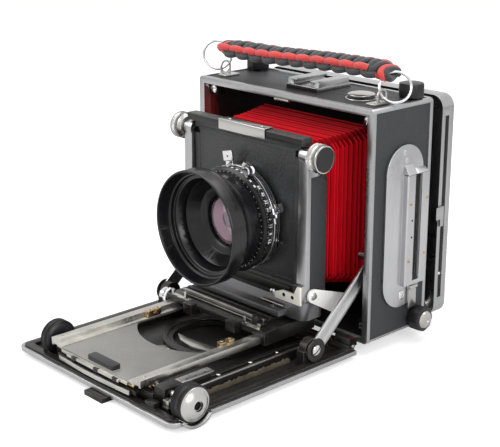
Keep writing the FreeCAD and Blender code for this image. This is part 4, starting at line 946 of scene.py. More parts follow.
# ---------------------------------------------------------------- bed
def ring_text(words, name, height, depth, material):
    """Flat figures, as a mesh lying in XY and centred on the origin, in millimetres."""
    clear_selection()
    bpy.ops.object.text_add(location=(0, 0, 0))
    text = bpy.context.object
    text.data.body = words
    text.data.size = height * MM
    text.data.offset = height * MM * 0.025
    text.data.extrude = depth * MM
    text.data.align_x = "CENTER"
    text.data.align_y = "CENTER"
    text.data.resolution_u = 2
    only(text)
    bpy.ops.object.convert(target="MESH")
    piece = bpy.context.object
    piece.name = piece.data.name = name
    return coat(piece, material)


def placed(piece, place, right, up):
    """Moves a flat piece from XY to a place, its X turned to right and its Y to up."""
    right, up = Vector(right).normalized(), Vector(up).normalized()
    turn = Matrix((right, up, right.cross(up))).transposed().to_4x4()
    piece.data.transform(Matrix.Translation(Vector(place) * MM) @ turn)
    return piece


class OBJECT_OT_field_camera_bed(FieldCameraOperator, bpy.types.Operator):
    """Finish the folding bed, its rim, guides, brackets and struts"""
    bl_idname = "object.field_camera_bed"
    bl_label = "Bed"

    def build(self, context):
        refined("bed_pan", 0.35, "bed", "black_metal", FINISH["black"])
        refined("bed_rim", 0.4, "bed", "satin_silver", FINISH["silver"], segments=3)
        refined("bed_guides", 0.3, "bed", "black_metal", FINISH["black"])
        refined("strut_brackets", 0.4, "bed", "black_metal", FINISH["black"], segments=3)
        disc = spun("pivot_washer", "X", STRUT_PIVOT, [(78.6, 0), (78.6, 8.2), (79.3, 8.2), (79.6, 7.8),
                                                       (79.5, 5.2), (79.35, 5.0), (79.35, 0)], 48)
        coat(disc, FINISH["clean_black"])
        screw = screws_at("pivot_screw", 3.7, [(79.3, *STRUT_PIVOT[1:])], (1, 0, 0), FINISH["chrome"], 1.5,
                          35)
        on(joined("strut_pivots", with_left_copies([disc, screw])), "bed", "bright_steel")

        mark_gap = 7.4
        trim = [coat(block("distance_scale", (52.1, -178.6, 16.6), (59.4, -145.6, 17.6), 0.2),
                     FINISH["brushed"])]
        for i in range(5):
            y = -177.0 + i * mark_gap
            tick = block("scale_tick", (52.4, y - 0.12, 17.58), (53.9 if i % 2 else 55.0, y + 0.12, 17.63), 0)
            trim.append(coat(tick, FINISH["inside"]))
        for i, figure in enumerate(("3", "5", "8", "15")):
            word = ring_text(figure, "scale_figure", 1.9, 0.03, FINISH["inside"])
            trim.append(placed(word, (57.2, -174.0 + i * mark_gap, 17.62), (0, 1, 0), (-1, 0, 0)))
        trim.append(coat(block("scale_foot", (54.0, -177, 11.9), (58.0, -147, 16.7), 0.2), FINISH["black"]))
        on(joined("scale_plate", trim), "bed", "satin_silver")

        gear = []
        for i in range(7):
            gear.append(coat(block("friction_fin", (63.0, -190.6 + i * 1.35, 9.0),
                                   (68.4, -189.9 + i * 1.35, 13.6), 0.15), FINISH["rail"]))
        gear.append(coat(block("friction_block", (62.6, -191.4, 5.2), (68.8, -180.6, 9.4), 0.4),
                         FINISH["black"]))
        gear.append(coat(block("front_stop_block", (52.2, -196.4, 5.0), (60.8, -191.0, 11.4), 0.5),
                         FINISH["clean_black"]))
        gear.append(coat(block("front_stop_lip", (49.2, -197.4, 5.0), (63.2, -195.4, 8.6), 0.4),
                         FINISH["clean_black"]))
        for y in (-140, -112, -88):
            gear.append(screws_at("guide_screws", 1.5, [(57, y, 12.0)], (0, 0, 1), FINISH["chrome"], 0.7, y))
            gear.append(screws_at("guide_screws_left", 1.5, [(-57, y, 12.0)], (0, 0, 1), FINISH["chrome"],
                                  0.7, y))
        gear.append(coat(block("guide_edge", (61.2, -178, 11.8), (62.6, -48, 12.9), 0.25), FINISH["rail"]))
        gear.append(coat(block("guide_edge_left", (-62.6, -165, 11.8), (-61.2, -48, 12.9), 0.25),
                         FINISH["rail"]))
        for x in (-34, -17, 0, 17, 34):
            gear.append(coat(bar("front_roller", "X", 1.5, (x - 5, x + 5), (-193.0, 14.6), 0.3, 20),
                             FINISH["brass" if x in (-34, 34) else "rail"]))
        spring = plate("front_spring", "XY", [(-38, -197.6), (-8, -199.0), (8, -199.0), (38, -197.6),
                                              (38, -196.2), (8, -197.4), (-8, -197.4), (-38, -196.2)],
                       (9.5, 12.6), 0.2)
        gear.append(coat(spring, FINISH["rail"]))
        felt = [(y, 5.2 + 0.5 * math.sin(y * 1.7) + 0.4 * math.sin(y * 0.63)) for y in range(-172, -80, 2)]
        strip = plate("worn_strip", "YZ", [*((y, 5.0) for y, _ in felt),
                                           *((y, z + 3.2) for y, z in reversed(felt))], (62.7, 63.9), 0.15)
        gear.append(coat(strip, FINISH["worn"]))
        gear.append(coat(block("front_yoke", (-42, -195.5, 9.8), (42, -193.4, 12.6), 0.3), FINISH["black"]))
        on(joined("bed_details", gear), "bed", "black_metal")

        cam = plate("focusing_cam", "XY", [(-16, -113), (-6, -119.5), (8, -121.5), (22, -118.5),
                                           (33, -110.5), (22, -110.2), (8, -112.5), (-6, -113.6)],
                    (9.4, 11.0), 0.3)
        coat(cam, FINISH["rail"])
        marks = [coat(block("cam_mark", (24.4 + i * 2.6, -113.8, 10.98), (25.6 + i * 2.6, -112.2, 11.04),
                            0), FINISH["red_fill"]) for i in range(3)]
        socket = spun("bed_boss", "Z", (-2, -138, 0), [(4.9, 0), (4.9, 15), (6.6, 15), (7.3, 14.2),
                                                       (7.3, 9.5), (6.9, 9.0), (6.9, 0)], 56)
        coat(socket, FINISH["plate"])
        arch = spun("bed_arch", "Z", (0, -96, 0), [(6.0, 27), (6.0, 34), (9.5, 34), (10.2, 33), (10.2, 31),
                                                   (8.8, 30.4), (8.8, 27)], 72)
        coat(arch, FINISH["black"])
        on(joined("bed_well_pieces", [cam, *marks, socket, arch]), "bed", "black_metal")

        # each strut is narrowed beyond its ends, square to its own length
        pivot, across = Vector(STRUT_PIVOT) * MM, Vector((0, -0.6585, 0.7525))
        for node, body in (("strut_right", "strut_right_body"), ("strut_left", "strut_left_body")):
            strap = refined(node, 0.35, body, "satin_silver", FINISH["brushed_strut"])
            for vertex in strap.data.vertices:
                away = (vertex.co - pivot).dot(across)
                spare = abs(away) - 3 * MM
                if spare > 0:
                    vertex.co -= across * math.copysign(spare * 0.40, away)


class OBJECT_OT_field_camera_knobs(FieldCameraOperator, bpy.types.Operator):
    """Model the ribbed focusing knobs with their domed caps, and the shaft between them"""
    bl_idname = "object.field_camera_knobs"
    bl_label = "Focusing knobs"

    def build(self, context):
        ribs = settings(context)[0].rim_ribs
        at_y, at_z = -182.5, 14.6
        pieces = []
        for name, inner, outer in (("right", 73, 85), ("left", 55.5, 65.5)):
            rim = spun("knob_rim_" + name, "X", (0, at_y, at_z),
                       [(inner, 2.3), (inner, 9.4), (inner + 1.2, 11.6), (inner + 2.0, 12.2),
                        (outer - 1.8, 12.2), (outer - 1.3, 11.9), (outer - 1.2, 11.4), (outer - 3, 11.0),
                        (outer - 3, 2.3)], ribs * 2)
            coat(rim, FINISH["rubber"])
            knurl(rim, "X", (0, at_y, at_z), 12.2, (inner + 2, outer - 1.8), 0.75, 0.10)
            cap = spun("knob_cap_" + name, "X", (0, at_y, at_z),
                       [(outer - 2.8, 0), (outer - 2.8, 11.0), (outer - 1.4, 11.3), (outer - 0.9, 10.9),
                        (outer - 0.7, 10.0), (outer + 0.2, 8.8), (outer + 1.2, 7.0), (outer + 1.9, 5.0),
                        (outer + 2.2, 3.5), (outer + 0.9, 3.2), (outer + 0.9, 0)], 96)
            coat(cap, FINISH["steel"])
            screw = screws_at("knob_screw_" + name, 2.7, [(outer + 0.8, at_y, at_z)], (1, 0, 0),
                              FINISH["inside"], 1.0, 70)
            for piece in (rim, cap, screw):
                pieces.append(sent_left(piece, piece.name + "_turned") if name == "left" else piece)
        shaft = bar("focusing_shaft", "X", 2.2, (-62.5, 82), (at_y, at_z), 0.2, 32)
        coat(shaft, FINISH["steel"])
        teeth = []
        for low in (42.5, -45.5):
            pinion = spun("focusing_pinion", "X", (0, at_y, at_z),
                          [(low, 2.1), (low, 3.2), (low + 3, 3.2), (low + 3, 2.1)], 32)
            coat(pinion, FINISH["brass"])
            knurl(pinion, "X", (0, at_y, at_z), 3.2, (low - 0.1, low + 3.1), 0.5, 0.05)
            teeth.append(pinion)
        on(joined("focusing_drive", [*pieces, shaft, *teeth]), "focus_drive", "black_metal", "focus_shaft",
           "focus_knobs")


# ---------------------------------------------------------------- track and carriage
class OBJECT_OT_field_camera_track(FieldCameraOperator, bpy.types.Operator):
    """Finish the focusing track, its plate and stops, the carriage and the movement stages"""
    bl_idname = "object.field_camera_track"
    bl_label = "Track and carriage"

    def build(self, context):
        refined("focus_track", 0.3, "track", "satin_silver", FINISH["rail"])
        tab_low = 18.6
        top = refined("track_plate", 0.3, "track", "satin_silver", FINISH["plate"], FINISH["rubber"],
                      segments=3)
        pick(top, 1, lambda c, n: -9.1 < c.x < 18.1 and c.y < -187.9 and c.z > tab_low)
        pieces = []
        for x in (-41, 41):
            for y in (-190, -60):
                pieces.append(screws_at("rail_screws", 1.3, [(x * 1.07, y, 21.95)], (0, 0, 1),
                                        FINISH["steel"], 0.4, y))
        pieces.append(coat(block("track_front_step", (-35.5, -197.0, 15.4), (35.5, -195.6, 17.6), 0.2),
                           FINISH["rail"]))
        pieces.append(coat(block("track_front_lip", (-28, -198.2, 15.0), (28, -196.8, 16.8), 0.2),
                           FINISH["rail"]))
        for x in (-20, 4, 24):
            pieces.append(coat(block("front_notch", (x - 2.2, -198.6, 14.6), (x + 2.2, -196.6, 17.3), 0.25),
                               FINISH["black"]))
        for x in (36.6, -48.0):
            rack = [block("rack_tooth", (x + 6.3, y, 16.6), (x + 9.0, y + 0.7, 17.3),
                          0) for y in range(-194, -44, 2)]
            pieces.append(coat(joined("track_rack", rack), FINISH["brass"]))
        on(joined("track_details", pieces), "track", "satin_silver")
        for node, body in (("stop_right", "stop_right_body"), ("stop_left", "stop_left_body")):
            low, high = corners(node)
            refined(node, 0.3, body, "brass", FINISH["brass"])
            middle = (low.x + high.x) / 2
            spots = [(middle, low.y + 2.6, high.z - 0.05), (middle, high.y - 2.4, high.z - 0.05)]
            heads = screws_at(node + "_screws", 1.15, spots, (0, 0, 1), FINISH["brass"], 0.55, 25)
            dot = spun(node + "_dot", "X", (0, low.y + 6, low.z + 2.0),
                       [(high.x - 0.1, 0), (high.x - 0.1, 0.7), (high.x + 0.05, 0.7), (high.x + 0.05, 0)], 20)
            coat(dot, FINISH["red_fill"])
            on(joined(node + "_details", [heads, dot]), body, "brass")

        refined("carriage", 0.4, "carriage_body", "black_metal", FINISH["black"], segments=3)
        refined("shift_plate", 0.3, "shift_body", "black_metal", FINISH["black"])
        swing = refined("swing_base", 0.5, "swing_body", "black_metal", FINISH["grey"], FINISH["steel"],
                        segments=3)
        pick(swing, 1, lambda c, n: c.z > 43)
        pieces = []
        for x in (-30, 30):
            pieces.append(screws_at("carriage_screws", 2.0, [(x, -91.5, 26.0)], (0, 0, 1), FINISH["steel"],
                                    0.7, x))
        hook = plate("carriage_hook", "XZ", [(30, 26), (46, 26), (46, 30.4), (43.8, 30.4), (43.8, 28),
                                             (32.2, 28), (32.2, 32.2), (30, 32.2)], (-93.6, -92.2), 0.15)
        pieces += with_left_copies([coat(hook, FINISH["steel"])])
        post = bar("clamp_post", "Z", 2.4, (26, 33.5), (38, -89.5), 0.5, 24)
        pieces.append(coat(post, FINISH["rubber"]))
        pieces.append(coat(block("clamp_plate", (34, -93.2, 26), (44.5, -84.5, 28.6), 0.5), FINISH["black"]))
        on(joined("carriage_details", pieces), "carriage_body", "black_metal")
        rail = [coat(block("shift_edge", (-42.6, -86.15, 28.4), (42.6, -85.5, 30.9), 0.15), FINISH["rail"]),
                coat(block("shift_edge_low", (-42.6, -86.6, 26.6), (42.6, -86.0, 27.6), 0.15),
                     FINISH["rail"])]
        on(joined("shift_edges", rail), "shift_body", "black_metal")
        mark = spun("swing_mark", "Z", (0, -72.5, 0), [(34.9, 0), (34.9, 0.9), (35.1, 0.9), (35.1, 0)], 20)
        coat(mark, FINISH["red_fill"])
        screws = screws_at("swing_screws", 1.8, [(-36, -71, 35.0), (36, -71, 35.0)], (0, 0, 1),
                           FINISH["steel"], 0.6, 15)
        on(joined("swing_details", [mark, screws]), "swing_body", "black_metal")

        low, high = corners("carriage_clamp")
        y, z = (low.y + high.y) / 2, (low.z + high.z) / 2
        clamp = spun("carriage_clamp_finished", "X", (0, y, z),
                     [(-62.3, 0), (-62.3, 3.9), (-60.9, 5.4), (-57.4, 5.4), (-57.3, 4.0), (-55.9, 4.0),
                      (-55.8, 6.4), (-52.0, 6.4), (-51.9, 2.0), (-48.4, 2.0), (-48.4, 0)], 72)
        coat(clamp, FINISH["chrome"])
        knurl(clamp, "X", (0, y, z), 6.4, (-55.8, -52.0), 0.4, 0.05)
        on(clamp, "carriage_clamp_body", "chrome", "carriage_clamp")


# ---------------------------------------------------------------- standard and lens panel
class OBJECT_OT_field_camera_standard(FieldCameraOperator, bpy.types.Operator):
    """Finish the arms, their levers and knobs, and the panel that carries the lens board"""
    bl_idname = "object.field_camera_standard"
    bl_label = "Front standard"

    def build(self, context):
        arms = refined("standard_frame", 0.5, "standard", "satin_silver", FINISH["silver"],
                       FINISH["clean_black"], segments=3)
        pick(arms, 1, lambda c, n: abs(c.x) < 53.9 and c.z < 56)
        trim = plate("arm_side_panel", "YZ", [(-62, 45), (-47.6, 45), (-47.6, 124), (-51, 129), (-62, 129)],
                     (61.9, 62.35), 0.15)
        pieces = with_left_copies([coat(trim, FINISH["leather"])])
        ivory = plate("level_bracket", "XZ", [(37.5, 41.6), (61.9, 41.6), (61.9, 54.6), (58.5, 54.6),
                                              (55.5, 48.6), (44.5, 48.6), (37.5, 46.0)], (-71.2, -69.2),
                      0.4)
        coat(ivory, FINISH["ivory"])
        pieces.append(ivory)
        pieces.append(screws_at("bracket_screws", 1.35, [(46.5, -71.15, 46.0), (54.6, -71.15, 46.0)],
                                (0, -1, 0), FINISH["inside"], 0.4, 20))
        pieces.append(screws_at("bracket_stud", 2.4, [(34.6, -69.6, 45.0)], (0, -1, 0), FINISH["chrome"],
                                1.6, 65))
        pieces.append(coat(block("foot_clip", (24, -71, 36.4), (45, -68.2, 37.6), 0.3), FINISH["steel"]))
        on(joined("standard_details", pieces), "standard", "satin_silver")

        refined("rise_lever", 0.5, "rise_lever_body", "chrome", FINISH["white"], segments=3)
        low, high = corners("rise_lever")
        hub = screws_at("rise_lever_screw", 2.6, [(high.x - 0.1, -61, 47)], (1, 0, 0), FINISH["chrome"],
                        1.0, 30)
        on(hub, "rise_lever_body", "chrome")

        for node, body in (("tilt_knob_right", "tilt_knob_right_body"),
                           ("tilt_knob_left", "tilt_knob_left_body")):
            rim = spun(node + "_rim", "X", TILT_AXIS, [(62.5, 2.0), (62.5, 7.4), (64.0, 8.8), (64.6, 9.6),
                                                       (72.0, 9.6), (72.7, 9.2), (72.9, 8.4), (72.4, 8.0),
                                                       (72.4, 2.0)], settings(context)[0].rim_ribs * 2)
            coat(rim, FINISH["steel"])
            knurl(rim, "X", TILT_AXIS, 9.6, (64.7, 71.9), 0.4, 0.05)
            cap = spun(node + "_cap", "X", TILT_AXIS, [(72.3, 0), (72.3, 7.9), (73.1, 7.9), (73.35, 7.6),
                                                       (73.35, 0)], 64)
            coat(cap, FINISH["rubber"])
            knob = joined(node + "_finished", [rim, cap])
            if node.endswith("left"):
                knob = sent_left(knob, node + "_finished_left")
            on(knob, body, "satin_silver", node)

        refined("lens_panel", 0.45, "lens_front", "black_metal", FINISH["board"], FINISH["clean_black"],
                segments=3)
        low, high = corners("lens_panel")
        sill = block("lock_bar_face", (low.x + 0.6, -66.35, 150.0), (high.x - 0.6, -66.15, 154.4), 0.1)
        on(coat(sill, FINISH["clean_black"]), "lens_front", "black_metal")
        refined("lens_board", 0.4, "lens_front", "board_black", FINISH["board"], segments=3)
        board_low, board_high = corners("lens_board")
        lip = []
        for z in (board_low.z + 2.2, board_high.z - 2.2):
            lip.append(coat(block("board_step", (board_low.x + 2, board_low.y - 0.25, z - 0.5),
                                  (board_high.x - 2, board_low.y + 0.1, z + 0.5), 0.15), FINISH["board"]))
        on(joined("board_steps", lip), "lens_front", "board_black")
        refined("board_lock_slider", 0.4, "board_lock", "chrome", FINISH["steel"], segments=3)
        low, high = corners("board_lock_slider")
        spots = [(x, (low.y + high.y) / 2 + 0.4, high.z - 0.05) for x in (-16, 16)]
        heads = screws_at("slider_screws", 1.3, spots, (0, 0, 1), FINISH["chrome"], 0.4, 15)
        on(heads, "board_lock", "chrome")


# ---------------------------------------------------------------- shutter and lens
def on_ring(piece, turn, radius, y, upright=None):
    """Puts a flat piece, drawn in XY, on a ring of the lens: turned in degrees from +X, at a radius.

    It faces forwards with its top outwards, or faces outwards with its top along upright."""
    angle = math.radians(turn)
    out = Vector((math.cos(angle), 0, math.sin(angle)))
    along = Vector((math.sin(angle), 0, -math.cos(angle)))
    spot = Vector((out.x * radius, y, LENS_AXIS_Z + out.z * radius))
    return placed(piece, spot, along, upright or out)


def turned_about_lens(piece, degrees):
    """Turns a piece that was made beside the origin about the lens's axis, from +X towards +Z."""
    turn = Matrix.Rotation(-math.radians(degrees), 4, "Y")
    piece.data.transform(Matrix.Translation((0, 0, LENS_AXIS_Z * MM)) @ turn)
    return piece


class OBJECT_OT_field_camera_shutter(FieldCameraOperator, bpy.types.Operator):
    """Model the shutter's rings, scales, levers and screws, the lens cells and the hood"""
    bl_idname = "object.field_camera_shutter"
    bl_label = "Shutter and lens"

    def build(self, context):
        at = (0, 0, LENS_AXIS_Z)
        rearwards = (0, 1, 0)
        housing = spun("shutter_case", "Y", at, [(-57.0, 29.0), (-57.0, 29.8), (-60.7, 29.8), (-63.0, 29.8),
                                                 (-63.0, 34.6), (-63.4, 35.1), (-64.2, 35.1), (-64.4, 34.7),
                                                 (-66.0, 34.7), (-66.2, 35.4), (-69.6, 35.4), (-69.8, 34.9),
                                                 (-70.6, 34.9), (-70.8, 35.5), (-75.6, 35.5), (-76.0, 35.1),
                                                 (-76.0, 20.0), (-72.0, 19.4), (-57.0, 19.4)], 144)
        coat(housing, FINISH["lens"], FINISH["clean_black"])
        knurl(housing, "Y", at, 35.4, (-69.6, -66.2), 0.35, 0.08, 3)
        scale = spun("aperture_scale", "Y", at, [(-69.75, 34.5), (-69.75, 35.55), (-70.65, 35.55),
                                                 (-70.65, 34.5)], 96)
        coat(scale, FINISH["steel"])
        lugs = []
        for turn, length in ((250, 9), (118, 7), (200, 8)):
            lug = block("case_lug", (-length / 2, 34.0, -72.5), (length / 2, 36.0, -66.5), 0.5)
            lug.data.transform(Matrix(((1, 0, 0, 0), (0, 0, 1, 0), (0, 1, 0, 0), (0, 0, 0, 1))))
            lugs.append(coat(outward(turned_about_lens(lug, turn - 90)), FINISH["clean_black"]))
        index = []
        for i, figure in enumerate(("64", "45", "32", "22", "16", "11", "8", "5.6")):
            word = ring_text(figure, "stop_figure", 3.0, 0.04, FINISH["white_fill"])
            index.append(on_ring(word, 48 - i * 9, 35.53, -73.2, rearwards))
        for i in range(22):
            tick = block("stop_tick", (-0.12, -0.5, -0.03), (0.12, 0.5, 0.03), 0)
            coat(tick, FINISH["red_fill" if i % 7 == 3 else "white_fill"])
            index.append(on_ring(tick, 50 - i * 3, 35.52, -75.2, rearwards))
        on(joined("shutter_case", [housing, scale, *lugs, *index]), "lens_front", "lens_black",
           "shutter_housing")

        ring = spun("speed_ring_finished", "Y", at, [(-76.1, 24.0), (-76.1, 36.6), (-76.5, 37.0),
                                                     (-78.2, 37.0), (-78.5, 36.7), (-79.9, 34.5),
                                                     (-80.0, 34.0), (-80.0, 24.3), (-79.8, 24.0)], 180)
        coat(ring, FINISH["lens"], FINISH["steel"])
        knurl(ring, "Y", at, 37.0, (-78.2, -76.5), 0.4, 0.06, 3)
        marks = [ring]
        for i, figure in enumerate(("T", "B", "1", "2", "4", "8", "15", "30", "60", "125", "250", "500")):
            colour = "green_fill" if figure in ("T", "B") else ("red_fill" if figure == "1" else "white_fill")
            word = ring_text(figure, "speed_figure", 3.4, 0.05, FINISH[colour])
            marks.append(on_ring(word, 145 - i * 21, 31.6, -80.02))
        for i in range(34):
            tick = coat(block("speed_tick", (-0.12, -0.45, -0.03), (0.12, 0.45, 0.03), 0),
                        FINISH["white_fill"])
            marks.append(on_ring(tick, 145 - i * 7, 33.9, -80.02))
        for turn in (162, 270, 18):
            angle = math.radians(turn)
            spot = (27.4 * math.cos(angle), -79.9, LENS_AXIS_Z + 27.4 * math.sin(angle))
            marks.append(screws_at("ring_screw", 1.0, [spot], (0, -1, 0), FINISH["chrome"], 0.4, turn))
        for i in range(12):
            tab = coat(block("ring_mark", (-0.95, -0.75, -0.04), (0.95, 0.75, 0.05), 0), FINISH["white_fill"])
            marks.append(on_ring(tab, 132 - i * 7.5, 37.0, -77.35, rearwards))
        on(joined("speed_ring_marked", marks), "speed_ring_body", "lens_black", "speed_ring")

        cocking_turn, aperture_turn = 66, 14
        angle = math.radians(cocking_turn)
        spot = (40.2 * math.cos(angle), 0, LENS_AXIS_Z + 40.2 * math.sin(angle))
        stud = spun("cocking_stud", "Y", spot, [(-72.0, 0), (-72.0, 2.6), (-73.0, 3.1), (-77.6, 3.1),
                                                (-78.3, 2.6), (-78.3, 0)], 36)
        coat(stud, FINISH["chrome"])
        knurl(stud, "Y", spot, 3.1, (-77.6, -73.0), 0.25, 0.04)
        neck = turned_about_lens(block("cocking_neck", (36.1, -74.8, -2.2), (40.5, -73.0, 2.2), 0.5),
                                 cocking_turn)
        on(joined("cocking_lever_tip", [stud, coat(neck, FINISH["chrome"])]), "cocking_body", "chrome")
        arms = [coat(block("aperture_cross", (38.6, -75.0, -5.6), (41.6, -72.6, 5.6), 0.9, 3),
                     FINISH["chrome"]), coat(block("aperture_cross_arm", (36.4, -75.6, -1.5),
                                                   (44.2, -73.0, 1.5), 0.9, 3), FINISH["chrome"]),
                coat(block("aperture_stem", (36.3, -74.0, -1.6), (39.5, -67.4, 1.6), 0.4),
                     FINISH["chrome"])]
        cross = turned_about_lens(joined("aperture_lever_tip", arms), aperture_turn)
        on(cross, "aperture_body", "chrome")
        arrow = plate("focus_arrow", "XZ", [(-0.9, 0), (0.9, 0), (0, -1.5)], (-0.2, 0.2), 0)
        low, high = corners("press_focus_lever")
        arrow.data.transform(Matrix.Translation(Vector((-9.6, low.y - 0.05, high.z - 4.0)) * MM))
        on(coat(arrow, FINISH["red_fill"]), "press_focus_body", "chrome")

        for node, body in (("aperture_lever", "aperture_body"), ("cocking_lever", "cocking_body"),
                           ("release_lever", "release_body"), ("press_focus_lever", "press_focus_body")):
            refined(node, 0.3, body, "chrome", FINISH["chrome"], segments=3)

        refined("shutter_blades", 0.0, "lens_front", "lens_black", FINISH["lens"])
        refined("lens_cells", 0.25, "lens_front", "lens_black", FINISH["lens"], segments=2)
        rings = []
        for y in (-84.6, -87.4, -90.2):
            groove = spun("cell_groove", "Y", at,
                          [(y, 32.7), (y, 33.1), (y - 0.5, 33.15), (y - 1.0, 33.1), (y - 1.0, 32.7)], 96)
            rings.append(coat(groove, FINISH["lens"]))
        name_ring = spun("front_cell_ring", "Y", at, [(-82.3, 18.3), (-82.3, 21.5), (-83.4, 22.6),
                                                      (-83.6, 25.6), (-82.9, 25.9), (-82.4, 26.5),
                                                      (-81.6, 26.5), (-81.6, 18.3)], 120)
        coat(name_ring, FINISH["lens"])
        rings.append(name_ring)
        for k in range(3):
            y, r = -84.6 - k * 2.2, 27.9 + k * 0.9
            step = spun("inner_step", "Y", at,
                        [(y, r), (y - 0.4, r - 0.3), (y - 0.8, r), (y - 0.8, r + 1.0), (y, r + 1.0)], 120)
            rings.append(coat(step, FINISH["lens"]))
        on(joined("cell_rings", rings), "lens_front", "lens_black")
        low, high = corners("lens_elements")
        glass = spun("front_element", "Y", at, [(-78.7, 0), (-78.7, 17.7), (-79.6, 18.0), (-80.4, 16.0),
                                                (-81.0, 12.0), (-81.4, 7.0), (-81.6, 0)], 96)
        rear = spun("rear_element", "Y", at, [(high.y, 0), (high.y - 0.6, 8), (high.y - 2.2, 14),
                                              (high.y - 3.4, 14), (high.y - 3.4, 0)], 64)
        on(coat(joined("lens_elements_finished", [glass, rear]), FINISH["glass"]), "lens_front", "glass",
           "lens_elements")
        # The inner element's ring between radius 5 and 15.6 takes the pale metal as painted light seen
        # through the lens; its middle and rim are black.
        bowl = spun("inner_element", "Y", at, [(-77.1, 0), (-77.1, 17.4), (-78.5, 17.6), (-78.3, 15.4),
                                               (-77.8, 12.0), (-77.5, 6.0), (-77.4, 0)], 96)
        coat(bowl, FINISH["blades"], FINISH["lens"])
        pick(bowl, 1, lambda c, n: not 5.0 <= math.hypot(c.x, c.z - LENS_AXIS_Z) <= 15.6)
        on(bowl, "lens_front", "lens_black")

        refined("lens_hood", 0.5, "lens_front", "lens_black", FINISH["hood"], segments=3)
        beads = []
        for y, r in ((-101.0, 40.0), (-104.2, 40.0), (-93.4, 33.6)):
            line = [(y, r - 0.5), (y, r - 0.02), (y - 0.25, r + 0.05), (y - 0.5, r - 0.02),
                    (y - 0.5, r - 0.5)]
            beads.append(coat(spun("hood_line", "Y", at, line, 128), FINISH["clean_black"]))
        on(joined("hood_lines", beads), "lens_front", "lens_black")


# ---------------------------------------------------------------- bellows
def bellows_outline(y):
    """Half the width, the foot and the top of the bellows at a depth, over its folds' ridges."""
    along = (BELLOWS_REAR_Y - y) / BELLOWS_LENGTH
    return (BELLOWS_REAR_HALF - BELLOWS_TAPER_HALF * along, BELLOWS_REAR_LOW + BELLOWS_TAPER_LOW * along,
            BELLOWS_REAR_HIGH - BELLOWS_TAPER_HIGH * along)


def bellows_ring(y, inset, chamfer):
    """One closed loop of the bellows at a depth, with cut corners; inset draws all four sides in."""
    half, low, high = bellows_outline(y)
    half, low, high = half - inset, low + inset, high - inset
    turns = ((half, low + chamfer), (half, high - chamfer), (half - chamfer, high), (chamfer - half, high),
             (-half, high - chamfer), (-half, low + chamfer), (chamfer - half, low), (half - chamfer, low))
    points = []
    for i, (x, z) in enumerate(turns):
        far_x, far_z = turns[(i + 1) % len(turns)]
        parts = 6 if i % 2 == 0 else 2
        for k in range(parts):
            points.append((x + (far_x - x) * k / parts, y, z + (far_z - z) * k / parts))
    return points


def in_painted_fold_shade(centre, normal):
    """True for a face down in the folds, which takes the darker cloth as painted shade where little light
    reaches; shallower on the top and underside.
    """
    half, low, high = bellows_outline(centre.y)
    side = half - abs(centre.x)
    flat = min(centre.z - low, high - centre.z)
    return min(side, flat) > (1.3 if flat < side else 3.2)


class OBJECT_OT_field_camera_bellows(FieldCameraOperator, bpy.types.Operator):
    """Model the pleated bellows, one section for each joint it crosses"""
    bl_idname = "object.field_camera_bellows"
    bl_label = "Bellows"

    def build(self, context):
        deep = settings(context)[0].pleat_depth * 1000
        # one pleat from valley to valley: how far along, how far in, and how wide the corners are cut
        pleat = ((0.0, deep, 4.0), (0.12, deep * 0.93, 4.1), (0.28, 3.1, 5.4), (0.40, 0.9, 6.4),
                 (0.44, 0.12, 6.6), (0.5, 0.0, 6.8), (0.56, 0.12, 6.6), (0.60, 0.9, 6.4), (0.72, 3.1, 5.4),
                 (0.88, deep * 0.93, 4.1))
        start = BELLOWS_REAR_Y
        for node, pleats, rear_body, front_body in BELLOWS:
            rows = []
            for i in range(pleats):
                rear = start - i * BELLOWS_PITCH
                slack = 0.5 * math.sin(2.3 * rear) + 0.35 * math.sin(5.1 * rear + 1)
                lift = 0.6 * math.sin(1.7 * rear)
                for step, inset, chamfer in pleat:
                    free = min(1.0, 4 * step, 4 * (1 - step))
                    y = rear - step * BELLOWS_PITCH + slack * free
                    rows.append(bellows_ring(y, inset + lift * free * 0.5 + 0.3, chamfer))
            end = start - pleats * BELLOWS_PITCH
            rows.append(bellows_ring(end, deep, 4.0))
            section = sheet(node + "_folds", rows, 0.7, angle=24)
            coat(section, FINISH["cloth"], FINISH["fold"])
            # Faces down in the folds get the darker cloth as painted shade.
            pick(section, 1, in_painted_fold_shade)
            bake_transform(section)
            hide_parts(node)
            start = end
        rings = [bellows_ring(5.9, inset, 5.0) for inset in (1.0, 5.9)]
        rear = sheet("bellows_rear_flange", rings, 0.6)
        on(coat(rear, FINISH["cloth"]), "camera_body", "red_cloth")


# ---------------------------------------------------------------- strap, rings and lugs
STRAP_START, STRAP_END = Vector((-74.0, -19.9, 0)), Vector((78.9, -1.1, 0))
STRAP_MIDDLE_Z = 194.3
STRAP_RISE = ((0, 1.5), (10, 0.5), (50, -0.5), (100, 0.5), (140, 0.0), (154, -3.0))


def strap_point(along, across, height):
    """A point of the strap: the distances along and across it, and the height above its middle."""
    line = (STRAP_END - STRAP_START).normalized()
    side = Vector((-line.y, line.x, 0))
    rise = STRAP_RISE[-1][1]
    for (a, low), (b, high) in zip(STRAP_RISE, STRAP_RISE[1:]):
        if along <= b:
            rise = low + (high - low) * max(0.0, along - a) / (b - a)
            break
    spot = STRAP_START + line * along + side * across
    return (spot.x, spot.y, STRAP_MIDDLE_Z + rise + height)


def strand(name, points, radius, material):
    """A cord through points, as a mesh mapped along and round."""
    clear_selection()
    bpy.ops.curve.primitive_nurbs_path_add()
    cord = bpy.context.object
    cord.name = name
    spline = cord.data.splines[0]
    spline.points.add(len(points) - len(spline.points))
    for point, place in zip(spline.points, points):
        point.co = (*(Vector(place) * MM), 1.0)
    spline.order_u = 4
    spline.use_endpoint_u = True
    cord.data.bevel_depth = radius
    cord.data.bevel_resolution = 3
    cord.data.resolution_u = 3
    cord.data.use_fill_caps = True
    only(cord)
    bpy.ops.object.transform_apply(location=True, rotation=True, scale=True)
    bpy.ops.object.convert(target="MESH")
    piece = bpy.context.object
    piece.name = piece.data.name = name
    coat(piece, material)
    return shade(piece, 50)


